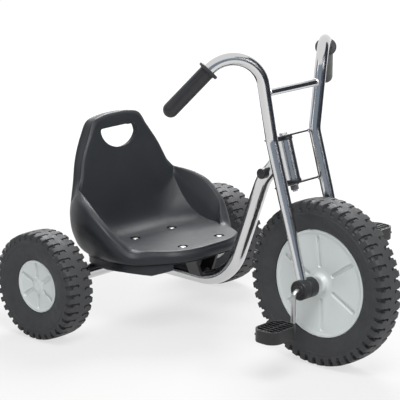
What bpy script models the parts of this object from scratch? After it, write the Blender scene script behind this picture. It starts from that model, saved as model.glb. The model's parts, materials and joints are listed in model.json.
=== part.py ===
"""A child's pedal tricycle with a bucket seat: metres, +X forward, +Y to the rider's left, +Z up.

The origin is on the floor, in the middle of the tricycle's length and width.
"""

import math

import bmesh
import bpy
from mathutils import Matrix, Vector

# Clearances between pieces
GAP = 0.0003
RUNNING = 0.0003

# Segments round a large circle, a small one and a tube
FINE = 20
COARSE = 12
TUBE_SIDES = 16
LOBE_STEPS = 6

# Wheels
WHEELBASE = 0.580
REAR_TRACK = 0.5866
# The rim is the grey disc's radius, and the seat is the disc's width from edge to edge.
FRONT_WHEEL = {"radius": 0.185, "width": 0.070, "rim": 0.121, "seat": 0.043, "steps": 32}
REAR_WHEEL = {"radius": 0.1245, "width": 0.075, "rim": 0.061, "seat": 0.048, "steps": 24}
BEAD_HEIGHT = 0.008
BEAD_WIDTH = 0.009
TREAD_DEPTH = 0.016
CASING = 0.009
SHOULDER_DROP = 0.003
# The tyre's side: shares of the height from the rim to the hollow's top, and of the half width.
TYRE_SIDE = ((0.25, 0.92), (0.70, 1.00))
SHOULDER_SHARE = 0.93
CROWN_SHARE = 0.30
HOLLOW_SHARE = 0.60
RIM_FLANGE = 0.003
RIM_WALL = 0.003
RIM_STEP = 0.002
DISC_DISH = 0.004
DISC_WALL = 0.0045
# Recessed channels on the discs' outer faces
CHANNEL_COUNT = 6
CHANNEL_WIDTH = 0.009
CHANNEL_DEPTH = 0.0028
FRONT_CHANNEL = (0.038, 0.104)
REAR_CHANNEL = (0.0215, 0.048)
FRONT_HUB_RADIUS = 0.020
FRONT_HUB_RISE = 0.006
REAR_HUB_RADIUS = 0.017
REAR_HUB_RISE = 0.010
REAR_HUB_FACE = -0.0015
HUB_EDGE = 0.002

# Axles, crankshaft and pedals
REAR_AXLE_RADIUS = 0.006
REAR_BUSH_WALL = 0.003
REAR_BUSH_LIP = 0.0012
REAR_PLAY = 0.0061
# The rear axle's tips and bushes end this far inside the wheels' outer edges.
AXLE_TIP_SUNK = 0.004
BUSH_END_SUNK = 0.009
CLIP_LENGTH = 0.0015
CLIP_CLEARANCE = 0.0006
ROD_RADIUS = 0.0053
CRANK_RADIUS = 0.076
CRANK_BEND = 0.013
DRIVE_PIN_RADIUS = 0.0025
DRIVE_PIN_LENGTH = 0.034
PEDAL_LENGTH = 0.088
PEDAL_DEPTH = 0.064
PEDAL_THICKNESS = 0.028
PEDAL_CORNER = 0.025
PEDAL_CAP_RADIUS = 0.009
PEDAL_CAP_LENGTH = 0.006
PEDAL_CAP_SUNK = 0.002

# Main frame
MAIN_TUBE_RADIUS = 0.0175
TUBE_WALL = 0.0022
MAIN_BEND = 0.118
# The tube runs level this far past the front seat bolts.
LEVEL_PAST_BOLTS = 0.0049
# The neck meets the steering axis this far below the upper plate.
NECK_DROP = 0.0321
NECK_LENGTH = 0.0992
NECK_RISE = math.radians(49.0)
NECK_BEND = 0.090
AXLE_PLUG_FLANGE = 0.003
AXLE_PLUG_DEPTH = 0.020

# Steering head
RAKE = math.radians(16.8)
AXLE_LEAD = 0.0285
TYRE_TO_PLATE = 0.0387
HEAD_LENGTH = 0.1051
PLATE_THICKNESS = 0.0035
# The plates' front edge lies this far behind the legs' middle line.
PLATE_SETBACK = 0.0099
PLATE_END = 0.013
PLATE_LOBE = 0.021
PLATE_INTO_LEG = 0.002
HEAD_TUBE_RADIUS = 0.0175
HEAD_TUBE_WALL = 0.003
HEAD_FLANGE = 0.007
HEAD_FLANGE_RADIUS = 0.0185
HEAD_BUSH_DEPTH = 0.018
HEAD_BOLT_RADIUS = 0.006
HEAD_BOLT_HEAD = 0.0095
HEAD_BOLT_HEAD_HEIGHT = 0.0055
HEAD_WASHER_RADIUS = 0.012
HEAD_WASHER_THICKNESS = 0.002
HEAD_NUT_HEIGHT = 0.010
HEAD_BOLT_TAIL = 0.004

# Steering stops
BUFFER_RADIUS = 0.012
BUFFER_LENGTH = 0.014
BUFFER_ALONG = 0.0732
BUFFER_RECESS = 0.003
BUFFER_SCREW_HEAD = 0.007
BUFFER_SCREW_EDGE = 0.0015
BUFFER_SCREW_CROWN = 0.0022

# Fork tubes and handlebar
FORK_RADIUS = 0.0135
LEG_END_RADIUS = 0.0107
TAPER_OVER_TYRE = 0.010
TAPER_END = 0.060
FORK_WALL = 0.002
KINK_LIFT = 0.0007
KINK_BEND = 0.060
# The bar's bend and end: up from the upper plate, ahead of the steering axis, and out to the side.
BAR_CORNER = (0.24861, 0.09158, 0.1210)
BAR_END = (0.10890, -0.06498, 0.2597)
BAR_BEND = 0.070
CROSS_BAR_LIFT = 0.0992
CROSS_BAR_RADIUS = 0.008
GRIP_RADIUS = 0.0168
GRIP_LENGTH = 0.134
GRIP_FLANGE_RADIUS = 0.024
GRIP_FLANGE = 0.007

# Axle housings on the fork
HOUSING_RADIUS = 0.015
HOUSING_BORE = 0.010
HOUSING_LENGTH = 0.030
COVER_RADIUS = 0.022
COVER_CLEARANCE = 0.010
COVER_TO_LEG = 0.028
LEG_TO_COVER_END = 0.019
CRANK_CLEARANCE = 0.015
PEDAL_CLEARANCE = 0.015
COVER_WALL = 0.004
COVER_EDGE = 0.002

# The seat's heights are given for this height of the rear axle, and rise and fall with it.
SEAT_AXLE_HEIGHT = 0.1245
# Seat: stations run from the front edge's middle, round the left side, to the top's middle.
# Each gives the panel's edge, the rim's crest, the outermost line and the hem, from the rear axle.
SEAT_STATIONS = (
    ((0.243, 0.000, 0.2091), (0.256, 0.000, 0.2095), (0.262, 0.000, 0.201), (0.257, 0.000, 0.181)),
    ((0.240, 0.052, 0.2090), (0.253, 0.056, 0.2094), (0.259, 0.058, 0.200), (0.254, 0.057, 0.180)),
    ((0.216, 0.098, 0.2075), (0.229, 0.108, 0.2080), (0.235, 0.113, 0.198), (0.230, 0.109, 0.177)),
    ((0.180, 0.124, 0.2054), (0.189, 0.136, 0.2060), (0.195, 0.143, 0.195), (0.191, 0.140, 0.171)),
    ((0.143, 0.146, 0.2032), (0.147, 0.157, 0.2060), (0.155, 0.174, 0.191), (0.156, 0.160, 0.168)),
    ((0.131, 0.153, 0.2035), (0.127, 0.168, 0.2245), (0.137, 0.189, 0.204), (0.130, 0.171, 0.168)),
    ((0.110, 0.154, 0.2050), (0.108, 0.186, 0.2480), (0.112, 0.204, 0.222), (0.104, 0.174, 0.166)),
    ((0.089, 0.154, 0.2080), (0.080, 0.191, 0.2730), (0.083, 0.211, 0.240), (0.077, 0.170, 0.164)),
    ((0.062, 0.154, 0.2160), (0.050, 0.189, 0.2950), (0.050, 0.213, 0.256), (0.048, 0.164, 0.163)),
    ((0.036, 0.154, 0.2310), (0.024, 0.181, 0.3070), (0.018, 0.208, 0.264), (0.020, 0.158, 0.161)),
    ((0.008, 0.154, 0.2600), (0.000, 0.171, 0.3140), (-0.020, 0.189, 0.270), (-0.002, 0.148, 0.161)),
    ((-0.016, 0.153, 0.2950), (-0.024, 0.161, 0.3190), (-0.050, 0.161, 0.274), (-0.011, 0.138, 0.163)),
    ((-0.025, 0.140, 0.3300), (-0.031, 0.147, 0.3360), (-0.055, 0.146, 0.330), (-0.015, 0.118, 0.168)),
    ((-0.037, 0.120, 0.3770), (-0.042, 0.128, 0.3800), (-0.070, 0.125, 0.375), (-0.017, 0.095, 0.171)),
    ((-0.047, 0.088, 0.4280), (-0.052, 0.096, 0.4300), (-0.081, 0.095, 0.426), (-0.018, 0.070, 0.173)),
    ((-0.051, 0.066, 0.4520), (-0.057, 0.076, 0.4600), (-0.085, 0.073, 0.455), (-0.018, 0.048, 0.174)),
    ((-0.052, 0.036, 0.4600), (-0.059, 0.042, 0.4695), (-0.087, 0.040, 0.463), (-0.018, 0.024, 0.175)),
    ((-0.053, 0.000, 0.4620), (-0.060, 0.000, 0.4715), (-0.088, 0.000, 0.465), (-0.018, 0.000, 0.175)),
)
# How far each station's side stands out past the straight line from its outermost line to the hem
SEAT_BULGE = (
    0.004, 0.004, 0.004, 0.004, 0.005, 0.006, 0.008, 0.010, 0.012,
    0.014, 0.014, 0.012, 0.008, 0.006, 0.006, 0.006, 0.006, 0.006,
)
# The panel's length and height along its dished middle, for every station but the two ends.
SEAT_PANEL = (
    (0.242, 0.2091),
    (0.216, 0.2075),
    (0.180, 0.2054),
    (0.150, 0.2036),
    (0.131, 0.2025),
    (0.110, 0.2012),
    (0.089, 0.2000),
    (0.058, 0.1981),
    (0.032, 0.2020),
    (0.006, 0.2180),
    (-0.011, 0.2560),
    (-0.025, 0.3200),
    (-0.037, 0.3770),
    (-0.047, 0.4280),
    (-0.051, 0.4520),
    (-0.052, 0.4600),
)
PANEL_SHARE = 0.62
# Shares of the way from edge to crest, crest to outermost line, and outermost line to hem
WALL_SHARE = 0.55
SHOULDER_WAY = 0.90
ROLL_SHARE = 0.45
SIDE_SHARE = 0.38
LOW_SHARE = 0.75
WALL_HOLLOW = 0.002
ROLL_RISE = 0.002
ROLL_OUT = 0.004
SEAT_WALL = 0.004
HANDLE_TOP = 0.440
HANDLE_HALF = 0.0596
HANDLE_HEIGHT = 0.050
HANDLE_CORNER = 0.006
HANDLE_FRONT_X = -0.0485
HANDLE_WALL = 0.004
HANDLE_DEPTH = 0.0105
HANDLE_RIM = 0.002
# The window in the shell's back, behind the handle hole
WINDOW_GROW = 0.020
WINDOW_FROM = 0.016
WINDOW_DROP = 0.005
BACK_LEAN = math.radians(12.0)
SKIRT_OPEN_COUNT = 2
SKIRT_INSET = 0.0004
SKIRT_WALL = 0.004
SKIRT_BOTTOM = (0.163, 0.1485, 0.1505, 0.152, 0.1505, 0.147, 0.146, 0.1465, 0.145, 0.147, 0.150)
SKIRT_REAR_BOTTOM = 0.151

# Seat bolts and brackets
SEAT_BOLT_X = (0.064, 0.2155)
SEAT_BOLT_Y = 0.062
FLOOR_AT = (0.064, 0.1985)
FLOOR_SLOPE = 0.0594
BOSS_RADIUS = 0.0165
BOSS_DEPTH = 0.009
RECESS_RADIUS = 0.0125
RECESS_DEPTH = 0.003
BOLT_RADIUS = 0.004
BOLT_HEAD_RADIUS = 0.0075
BOLT_HEAD_HEIGHT = 0.0025
BOLT_TAIL = 0.004
NUT_RADIUS = 0.0075
NUT_HEIGHT = 0.0065
BRACKET_WIDTH = 0.036
BRACKET_PLATE = 0.004
BRACKET_FLAT = 0.026
BRACKET_ELBOW = 0.002
BRACKET_WEB = 0.006
BRACKET_CROWN = 0.0005
SADDLE_HALF_ANGLE = math.radians(68.0)

# Places worked out from the sizes above
LOWER_PLATE_AT = FRONT_WHEEL["radius"] + TYRE_TO_PLATE
UPPER_PLATE_AT = LOWER_PLATE_AT + HEAD_LENGTH
TAPER_TOP = FRONT_WHEEL["radius"] + TAPER_OVER_TYRE
COVER_INNER = FRONT_WHEEL["width"] / 2 + COVER_CLEARANCE
LEG_SPREAD = COVER_INNER + COVER_TO_LEG
COVER_OUTER = LEG_SPREAD + LEG_TO_COVER_END
CRANK_OUTSET = COVER_OUTER + CRANK_CLEARANCE
PEDAL_OFFSET = CRANK_OUTSET + PEDAL_CLEARANCE + PEDAL_LENGTH / 2
REAR_HUB_END = REAR_TRACK / 2 - REAR_WHEEL["seat"] / 2 - REAR_HUB_RISE - REAR_BUSH_LIP
AXLE_TUBE_END = REAR_HUB_END - REAR_PLAY - AXLE_PLUG_FLANGE
REAR_X = (REAR_WHEEL["radius"] - FRONT_WHEEL["radius"] - WHEELBASE) / 2
FRONT_X = REAR_X + WHEELBASE
AXLE = Vector((FRONT_X, 0, FRONT_WHEEL["radius"]))
REAR_Z = REAR_WHEEL["radius"]
UP_AXIS = Vector((-math.sin(RAKE), 0, math.cos(RAKE)))
FORE_AXIS = Vector((math.cos(RAKE), 0, math.sin(RAKE)))
LATERAL = Vector((0, 1, 0))
STEER_FOOT = AXLE - FORE_AXIS * AXLE_LEAD
SEAT_RISE = REAR_Z - SEAT_AXLE_HEIGHT
STEER_TURN = Matrix((FORE_AXIS, LATERAL, UP_AXIS)).transposed()
SIDES = (("right", -1), ("left", 1))

# Colour, metallic and roughness of each finish
FINISHES = {
    "satin chrome": ((0.62, 0.65, 0.69), 1.0, 0.25),
    "zinc": ((0.70, 0.71, 0.70), 1.0, 0.35),
    "rubber": ((0.045, 0.046, 0.050), 0.0, 0.80),
    "grey plastic": ((0.50, 0.54, 0.53), 0.0, 0.45),
    "black plastic": ((0.035, 0.036, 0.040), 0.0, 0.50),
    "black rubber": ((0.030, 0.030, 0.033), 0.0, 0.70),
    "black paint": ((0.028, 0.028, 0.030), 0.0, 0.40),
}


def clear_scene():
    for item in list(bpy.data.objects):
        bpy.data.objects.remove(item)


def finish(name, kind):
    """One material for one piece."""
    colour, metallic, roughness = FINISHES[kind]
    material = bpy.data.materials.new(name)
    material.use_nodes = True
    shader = material.node_tree.nodes["Principled BSDF"]
    shader.inputs["Base Color"].default_value = (*colour, 1)
    shader.inputs["Metallic"].default_value = metallic
    shader.inputs["Roughness"].default_value = roughness
    return material


def joint_empty(name, place, parent=None, turn=None):
    """An empty on a joint's axis, which carries the pieces that move about it."""
    empty = bpy.data.objects.new(name, None)
    bpy.context.collection.objects.link(empty)
    world = Matrix.Translation(place)
    if turn is not None:
        world = world @ turn.to_4x4()
    empty["world"] = [value for row in world for value in row]
    if parent is not None:
        empty.parent = parent
        world = world_of(parent).inverted() @ world
    empty.matrix_basis = world
    return empty


def world_of(empty):
    values = list(empty["world"])
    return Matrix([values[row * 4 : row * 4 + 4] for row in range(4)])


def add_piece(name, mesh, kind, carrier):
    """Links a mesh, made in world places, under the empty that carries it."""
    mesh.transform(world_of(carrier).inverted())
    mesh.materials.clear()
    mesh.materials.append(finish(name, kind))
    mesh.shade_smooth()
    mesh.set_sharp_from_angle(angle=math.radians(35))
    piece = bpy.data.objects.new(name, mesh)
    bpy.context.collection.objects.link(piece)
    piece.parent = carrier
    return piece


def add_cutter(name, mesh, carrier):
    mesh.transform(world_of(carrier).inverted())
    cutter = bpy.data.objects.new(name, mesh)
    bpy.context.collection.objects.link(cutter)
    cutter.parent = carrier
    cutter.hide_render = True
    cutter.display_type = "WIRE"
    return cutter


def boolean(piece, name, mesh, carrier, operation="DIFFERENCE"):
    modifier = piece.modifiers.new(name, "BOOLEAN")
    modifier.operation = operation
    modifier.solver = "EXACT"
    modifier.object = add_cutter(piece.name + "_" + name, mesh, carrier)


def mesh_of(shape):
    """Closes a bmesh with its faces pointing out."""
    bmesh.ops.recalc_face_normals(shape, faces=shape.faces)
    closed = all(edge.is_manifold for edge in shape.edges)
    if closed and shape.calc_volume(signed=True) < 0:
        bmesh.ops.reverse_faces(shape, faces=shape.faces)
    mesh = bpy.data.meshes.new("shape")
    shape.to_mesh(mesh)
    shape.free()
    return mesh


def facing(origin, axis):
    """The matrix that takes +Z at the origin to the given axis and place."""
    turn = Vector((0, 0, 1)).rotation_difference(Vector(axis).normalized())
    return Matrix.Translation(origin) @ turn.to_matrix().to_4x4()


def turned(profile, origin, axis, steps=FINE):
    """A solid turned from a closed profile of (radius, along the axis) points."""
    shape = bmesh.new()
    corners = [shape.verts.new((radius, 0, along)) for radius, along in profile]
    edges = [shape.edges.new((corners[i - 1], corners[i])) for i in range(len(corners))]
    bmesh.ops.spin(
        shape,
        geom=corners + edges,
        cent=(0, 0, 0),
        axis=(0, 0, 1),
        angle=2 * math.pi,
        steps=steps,
        use_merge=True,
    )
    bmesh.ops.remove_doubles(shape, verts=shape.verts, dist=1e-6)
    bmesh.ops.dissolve_degenerate(shape, edges=shape.edges, dist=1e-7)
    loose = [edge for edge in shape.edges if not edge.link_faces]
    bmesh.ops.delete(shape, geom=loose, context="EDGES")
    shape.transform(facing(origin, axis))
    return mesh_of(shape)


def rod(radius, start, end, steps=COARSE):
    start = Vector(start)
    end = Vector(end)
    length = (end - start).length
    profile = ((0, 0), (radius, 0), (radius, length), (0, length))
    return turned(profile, start, end - start, steps)


def sleeve(outer, inner, start, end, steps=FINE):
    start = Vector(start)
    end = Vector(end)
    length = (end - start).length
    profile = ((inner, 0), (outer, 0), (outer, length), (inner, length))
    return turned(profile, start, end - start, steps)


def slab(outline, thickness, world):
    """A flat outline in the plane of a matrix's X and Y, given a thickness along its Z."""
    shape = bmesh.new()
    face = shape.faces.new([shape.verts.new((x, y, 0)) for x, y in outline])
    extruded = bmesh.ops.extrude_face_region(shape, geom=[face])["geom"]
    raised = [item for item in extruded if isinstance(item, bmesh.types.BMVert)]
    bmesh.ops.translate(shape, verts=raised, vec=(0, 0, thickness))
    shape.transform(world)
    return mesh_of(shape)


def joined(meshes):
    """Several solids in one mesh."""
    shape = bmesh.new()
    for mesh in meshes:
        shape.from_mesh(mesh)
    return mesh_of(shape)


def bent_path(corners, bends, step=math.radians(12)):
    """The line through the corners, with each inner corner rounded to its bend radius."""
    points = [Vector(corners[0])]
    for before, corner, after, radius in zip(corners, corners[1:], corners[2:], bends):
        corner = Vector(corner)
        into = (corner - Vector(before)).normalized()
        out = (Vector(after) - corner).normalized()
        angle = into.angle(out)
        reach = radius * math.tan(angle / 2)
        start = corner - into * reach
        middle = start + (out - into * into.dot(out)).normalized() * radius
        count = max(2, round(angle / step))
        axis = into.cross(out)
        for index in range(count + 1):
            turn = Matrix.Rotation(angle * index / count, 3, axis)
            points.append(middle + turn @ (start - middle))
    points.append(Vector(corners[-1]))
    return points


def tube(points, radius, radii=None, sides=TUBE_SIDES, solid=False):
    """A round tube along the points: an open skin, or a solid with its ends filled."""
    curve = bpy.data.curves.new("tube", "CURVE")
    curve.dimensions = "3D"
    curve.bevel_depth = radius
    curve.bevel_resolution = sides // 4 - 1
    curve.resolution_u = 1
    curve.use_fill_caps = solid
    spline = curve.splines.new("POLY")
    spline.points.add(len(points) - 1)
    for index, point in enumerate(points):
        spline.points[index].co = (*point, 1)
        spline.points[index].radius = radii[index] / radius if radii else 1
    guide = bpy.data.objects.new("tube", curve)
    bpy.context.collection.objects.link(guide)
    bpy.context.view_layer.update()
    seen = guide.evaluated_get(bpy.context.evaluated_depsgraph_get())
    shape = bmesh.new()
    shape.from_mesh(bpy.data.meshes.new_from_object(seen))
    bpy.data.objects.remove(guide)
    bmesh.ops.remove_doubles(shape, verts=shape.verts, dist=1e-6)
    return mesh_of(shape)


def hollow(piece, wall):
    modifier = piece.modifiers.new("wall", "SOLIDIFY")
    modifier.thickness = wall
    modifier.offset = -1
    modifier.use_quality_normals = True


def steering_point(height, fore=0.0, side=0.0):
    """A place near the steering axis, by its height along the axis above the front axle."""
    return STEER_FOOT + UP_AXIS * height + FORE_AXIS * fore + LATERAL * side


def leg_point(height, side):
    return steering_point(height, AXLE_LEAD, side * LEG_SPREAD)


def bar_point(place, side):
    """A place on the handlebar, from its three distances given above."""
    return steering_point(UPPER_PLATE_AT + place[0], place[1], side * place[2])


def from_rear(place):
    """A place on the seat, given from the rear axle's middle and the floor."""
    return Vector((place[0] + REAR_X, place[1], place[2] + SEAT_RISE))


def tyre(size, middle):
    """A hollow tyre, open to the rim between its two beads."""
    radius = size["radius"]
    half = size["width"] / 2
    rim = size["rim"] + GAP
    seat = size["seat"] / 2
    bead = seat - RIM_FLANGE - GAP
    wall = radius - TREAD_DEPTH - rim
    side = [
        (rim - BEAD_HEIGHT, bead - BEAD_WIDTH),
        (rim - BEAD_HEIGHT, bead),
        (rim, bead),
        (rim, seat),
        *((rim + wall * high, half * wide) for high, wide in TYRE_SIDE),
        (radius - SHOULDER_DROP, half * SHOULDER_SHARE),
        (radius, half * CROWN_SHARE),
    ]
    hollow_top = (radius - TREAD_DEPTH - CASING, half * HOLLOW_SHARE)
    profile = [hollow_top] + side + [(out, -across) for out, across in reversed(side)]
    profile.append((hollow_top[0], -hollow_top[1]))
    return turned(profile, middle, LATERAL, size["steps"])


def disc_line(size, hub_radius):
    """The disc's outer face as its inner and outer (radius, height from the wheel's middle)."""
    face = size["seat"] / 2 - RIM_STEP
    inside = size["rim"] - BEAD_HEIGHT - GAP - RIM_WALL
    return (hub_radius * 1.5, face - DISC_DISH), (inside, face)


def wheel_half(size, middle, side, hub_radius, hub_bore, hub_rise):
    """Half of a moulded wheel: a flanged rim, the dished disc and half of the hub."""
    rim = size["rim"]
    barrel = rim - BEAD_HEIGHT - GAP
    edge = size["seat"] / 2
    (foot, dish), (inside, face) = disc_line(size, hub_radius)
    split = GAP / 2
    profile = (
        (hub_bore, split),
        (hub_radius, split),
        (hub_radius, dish - DISC_WALL),
        (inside, face - DISC_WALL),
        (inside, split),
        (barrel, split),
        (barrel, edge - RIM_FLANGE),
        (rim, edge - RIM_FLANGE),
        (rim, edge),
        (barrel, edge),
        (inside, face),
        (foot, dish),
        (hub_radius, (dish + edge + hub_rise) / 2),
        (hub_radius - HUB_EDGE, edge + hub_rise),
        (hub_bore, edge + hub_rise),
    )
    return turned(profile, middle, (0, side, 0), size["steps"])


def wheel_channels(size, middle, side, hub_radius, span):
    """Cutters for the round-ended channels in a wheel's face, spread round the hub."""
    (foot, dish), (inside, face) = disc_line(size, hub_radius)
    slope = math.atan2(face - dish, inside - foot)
    half = CHANNEL_WIDTH / 2
    start = (span[0] - foot) / math.cos(slope)
    end = (span[1] - foot) / math.cos(slope)
    outline = []
    for centre, first in ((end - half, -math.pi / 2), (start + half, math.pi / 2)):
        for step in range(4):
            angle = first + math.pi * step / 3
            outline.append((centre + half * math.cos(angle), half * math.sin(angle)))
    tilt = Matrix.Translation((foot, 0, dish)) @ Matrix.Rotation(-slope, 4, "Y")
    cutters = []
    for index in range(CHANNEL_COUNT):
        turn = Matrix.Rotation(2 * math.pi * index / CHANNEL_COUNT + math.pi / 2, 4, "Z")
        sunk = Matrix.Translation((0, 0, -CHANNEL_DEPTH))
        place = facing(middle, (0, side, 0)) @ turn @ tilt @ sunk
        cutters.append(slab(outline, CHANNEL_DEPTH + RIM_STEP, place))
    return joined(cutters)


def neck_point(back):
    """A place on the neck's middle line, by its distance from the steering axis."""
    along = Vector((math.cos(NECK_RISE), 0, math.sin(NECK_RISE)))
    return steering_point(UPPER_PLATE_AT - NECK_DROP) - along * back


def make_main_tube(carrier):
    """The bent tube from the rear axle tube, under the seat and up to the head tube."""
    neck = neck_point(NECK_LENGTH)
    bend = Vector((REAR_X + SEAT_BOLT_X[1] + LEVEL_PAST_BOLTS, 0, REAR_Z + MAIN_BEND))
    reach = neck - bend
    rise = math.atan2(reach.z, reach.x) + math.asin(MAIN_BEND / reach.length)
    corner = (bend.x + MAIN_BEND * math.tan(rise / 2), 0, REAR_Z)
    start = (REAR_X + MAIN_TUBE_RADIUS + GAP, 0, REAR_Z)
    points = bent_path((start, corner, neck, neck_point(0)), (MAIN_BEND, NECK_BEND))
    piece = add_piece("main_tube", tube(points, MAIN_TUBE_RADIUS), "satin chrome", carrier)
    hollow(piece, TUBE_WALL)
    head = rod(HEAD_TUBE_RADIUS + GAP, steering_point(LOWER_PLATE_AT), steering_point(UPPER_PLATE_AT), FINE)
    boolean(piece, "saddle", head, carrier)
    return points


def make_rear_axle(carrier):
    ends = ((REAR_X, -AXLE_TUBE_END, REAR_Z), (REAR_X, AXLE_TUBE_END, REAR_Z))
    bore = MAIN_TUBE_RADIUS - TUBE_WALL
    add_piece("rear_axle_tube", sleeve(MAIN_TUBE_RADIUS, bore, *ends), "satin chrome", carrier)
    tip = REAR_TRACK / 2 + REAR_WHEEL["seat"] / 2 - AXLE_TIP_SUNK
    shaft = rod(REAR_AXLE_RADIUS, (REAR_X, -tip, REAR_Z), (REAR_X, tip, REAR_Z))
    add_piece("rear_axle", shaft, "zinc", carrier)
    for name, side in SIDES:
        profile = (
            (REAR_AXLE_RADIUS + GAP, -AXLE_PLUG_DEPTH),
            (bore - GAP, -AXLE_PLUG_DEPTH),
            (bore - GAP, GAP),
            (MAIN_TUBE_RADIUS, GAP),
            (MAIN_TUBE_RADIUS, AXLE_PLUG_FLANGE),
            (REAR_AXLE_RADIUS + GAP, AXLE_PLUG_FLANGE),
        )
        place = (REAR_X, side * AXLE_TUBE_END, REAR_Z)
        add_piece("axle_plug_" + name, turned(profile, place, (0, side, 0)), "black plastic", carrier)


def make_head(carrier):
    """The head tube and its two flanged bushes."""
    low = LOWER_PLATE_AT + PLATE_THICKNESS / 2 + RUNNING
    high = UPPER_PLATE_AT - PLATE_THICKNESS / 2 - RUNNING
    bore = HEAD_TUBE_RADIUS - HEAD_TUBE_WALL
    first = steering_point(low + HEAD_FLANGE + GAP)
    last = steering_point(high - HEAD_FLANGE - GAP)
    add_piece("head_tube", sleeve(HEAD_TUBE_RADIUS, bore, first, last), "satin chrome", carrier)
    for name, at, up in (("lower", low, 1), ("upper", high, -1)):
        profile = (
            (HEAD_BOLT_RADIUS + RUNNING, 0),
            (HEAD_FLANGE_RADIUS, 0),
            (HEAD_FLANGE_RADIUS, HEAD_FLANGE),
            (bore - GAP, HEAD_FLANGE),
            (bore - GAP, HEAD_FLANGE + HEAD_BUSH_DEPTH),
            (HEAD_BOLT_RADIUS + RUNNING, HEAD_FLANGE + HEAD_BUSH_DEPTH),
        )
        bush = turned(profile, steering_point(at), UP_AXIS * up)
        add_piece("head_bush_" + name, bush, "black plastic", carrier)


def make_buffers(carrier, main_points):
    """A rubber buffer on each side of the neck, with its screw, that stops the fork leg."""
    middle = neck_point(BUFFER_ALONG)
    for name, side in SIDES:
        start = middle + LATERAL * side * (MAIN_TUBE_RADIUS / 2)
        face = middle + LATERAL * side * (MAIN_TUBE_RADIUS + BUFFER_LENGTH)
        body = rod(BUFFER_RADIUS, start, face)
        piece = add_piece("stop_buffer_" + name, body, "black rubber", carrier)
        skin = tube(main_points, MAIN_TUBE_RADIUS + GAP, solid=True)
        boolean(piece, "seat", skin, carrier)
        inward = -LATERAL * side
        depth = inward * BUFFER_RECESS
        recess = rod(BUFFER_SCREW_HEAD + GAP, face + depth, face - depth)
        boolean(piece, "recess", recess, carrier)
        rim = (BUFFER_SCREW_HEAD, BUFFER_SCREW_EDGE)
        profile = ((0, 0), (BUFFER_SCREW_HEAD, 0), rim, (0, BUFFER_SCREW_CROWN))
        screw = turned(profile, face + inward * (BUFFER_RECESS - GAP), LATERAL * side, COARSE)
        add_piece("buffer_screw_" + name, screw, "zinc", carrier)


def floor_z(x):
    """The seat floor's height above the ground at a distance ahead of the rear axle."""
    return FLOOR_AT[1] + (x - FLOOR_AT[0]) * FLOOR_SLOPE


def floor_up():
    return Vector((-FLOOR_SLOPE, 0, 1)).normalized()


def seat_rows():
    """For each station, the points from the panel's edge over the rim to the hem."""
    rows = []
    for (edge, crest, outer, hem), bulge in zip(SEAT_STATIONS, SEAT_BULGE):
        edge, crest, outer, hem = (Vector(point) for point in (edge, crest, outer, hem))
        out = Vector((outer.x - edge.x, outer.y - edge.y, 0)).normalized()
        wall = edge.lerp(crest, WALL_SHARE) - out * WALL_HOLLOW
        shoulder = edge.lerp(crest, SHOULDER_WAY)
        roll = crest.lerp(outer, ROLL_SHARE) + (crest - edge).normalized() * ROLL_RISE + out * ROLL_OUT
        side = outer.lerp(hem, SIDE_SHARE) + out * bulge
        low = outer.lerp(hem, LOW_SHARE) + out * bulge
        row = (edge, wall, shoulder, crest, roll, outer, side, low, hem)
        rows.append([from_rear(point) for point in row])
    return rows


def full_loop(row_points):
    """The points of one line, round both sides: the middle of the front, left, top, right."""
    left = list(row_points)
    right = [Vector((point.x, -point.y, point.z)) for point in reversed(left[1:-1])]
    return left + right


def seat_skin():
    rows = seat_rows()
    shape = bmesh.new()
    loops = []
    for line in range(len(rows[0])):
        points = full_loop([row[line] for row in rows])
        loops.append([shape.verts.new(point) for point in points])
    count = len(loops[0])
    for first, second in zip(loops, loops[1:]):
        for index in range(count):
            shape.faces.new((first[index - 1], first[index], second[index], second[index - 1]))
    edge = loops[0]
    last = len(rows) - 1
    lines = [[edge[0]] * 4]
    for index, (x, z) in enumerate(SEAT_PANEL, 1):
        half = rows[index][0].y * PANEL_SHARE
        inner = [shape.verts.new(from_rear((x, y, z))) for y in (half, -half)]
        lines.append([edge[index], inner[0], inner[1], edge[count - index]])
    lines.append([edge[last]] * 4)
    for first, second in zip(lines, lines[1:]):
        for column in range(3):
            corners = (first[column], first[column + 1], second[column + 1], second[column])
            shape.faces.new(list(dict.fromkeys(corners)))
    mesh = mesh_of(shape)
    # The last face is high on the backrest, whose outer side looks ahead.
    if mesh.polygons[-1].normal.x < 0:
        mesh.flip_normals()
    return mesh


def handle_outline(grow):
    """The handle hole: a straight top edge over a half ellipse, as (across, up)."""
    half = HANDLE_HALF + grow
    drop = HANDLE_HEIGHT - HANDLE_CORNER + grow
    points = []
    for index in range(17):
        angle = math.pi * index / 16
        points.append((half * math.cos(angle), -HANDLE_CORNER - drop * math.sin(angle)))
    for side, first in ((-1, math.pi), (1, math.pi / 2)):
        for step in (1, 2, 3) if side < 0 else (0, 1, 2):
            angle = first - math.pi / 2 * step / 3
            across = side * (half - HANDLE_CORNER) + HANDLE_CORNER * math.cos(angle)
            points.append((across, -HANDLE_CORNER + (HANDLE_CORNER + grow) * math.sin(angle)))
    return points


def handle_block(grow, front, depth, drop=0.0):
    """A block with the handle hole's outline, square to the backrest."""
    top = from_rear((HANDLE_FRONT_X, 0, HANDLE_TOP - drop))
    back = Vector((-math.cos(BACK_LEAN), 0, -math.sin(BACK_LEAN)))
    up = Vector((-math.sin(BACK_LEAN), 0, math.cos(BACK_LEAN)))
    turn = Matrix((LATERAL, up, back)).transposed().to_4x4()
    place = Matrix.Translation(top - back * front) @ turn
    return slab(handle_outline(grow), depth, place)


def bolt_places():
    """The four places of the seat bolts, on the floor's upper face."""
    places = []
    for x in SEAT_BOLT_X:
        for side in (-1, 1):
            places.append(from_rear((x, side * SEAT_BOLT_Y, floor_z(x))))
    return places


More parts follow.
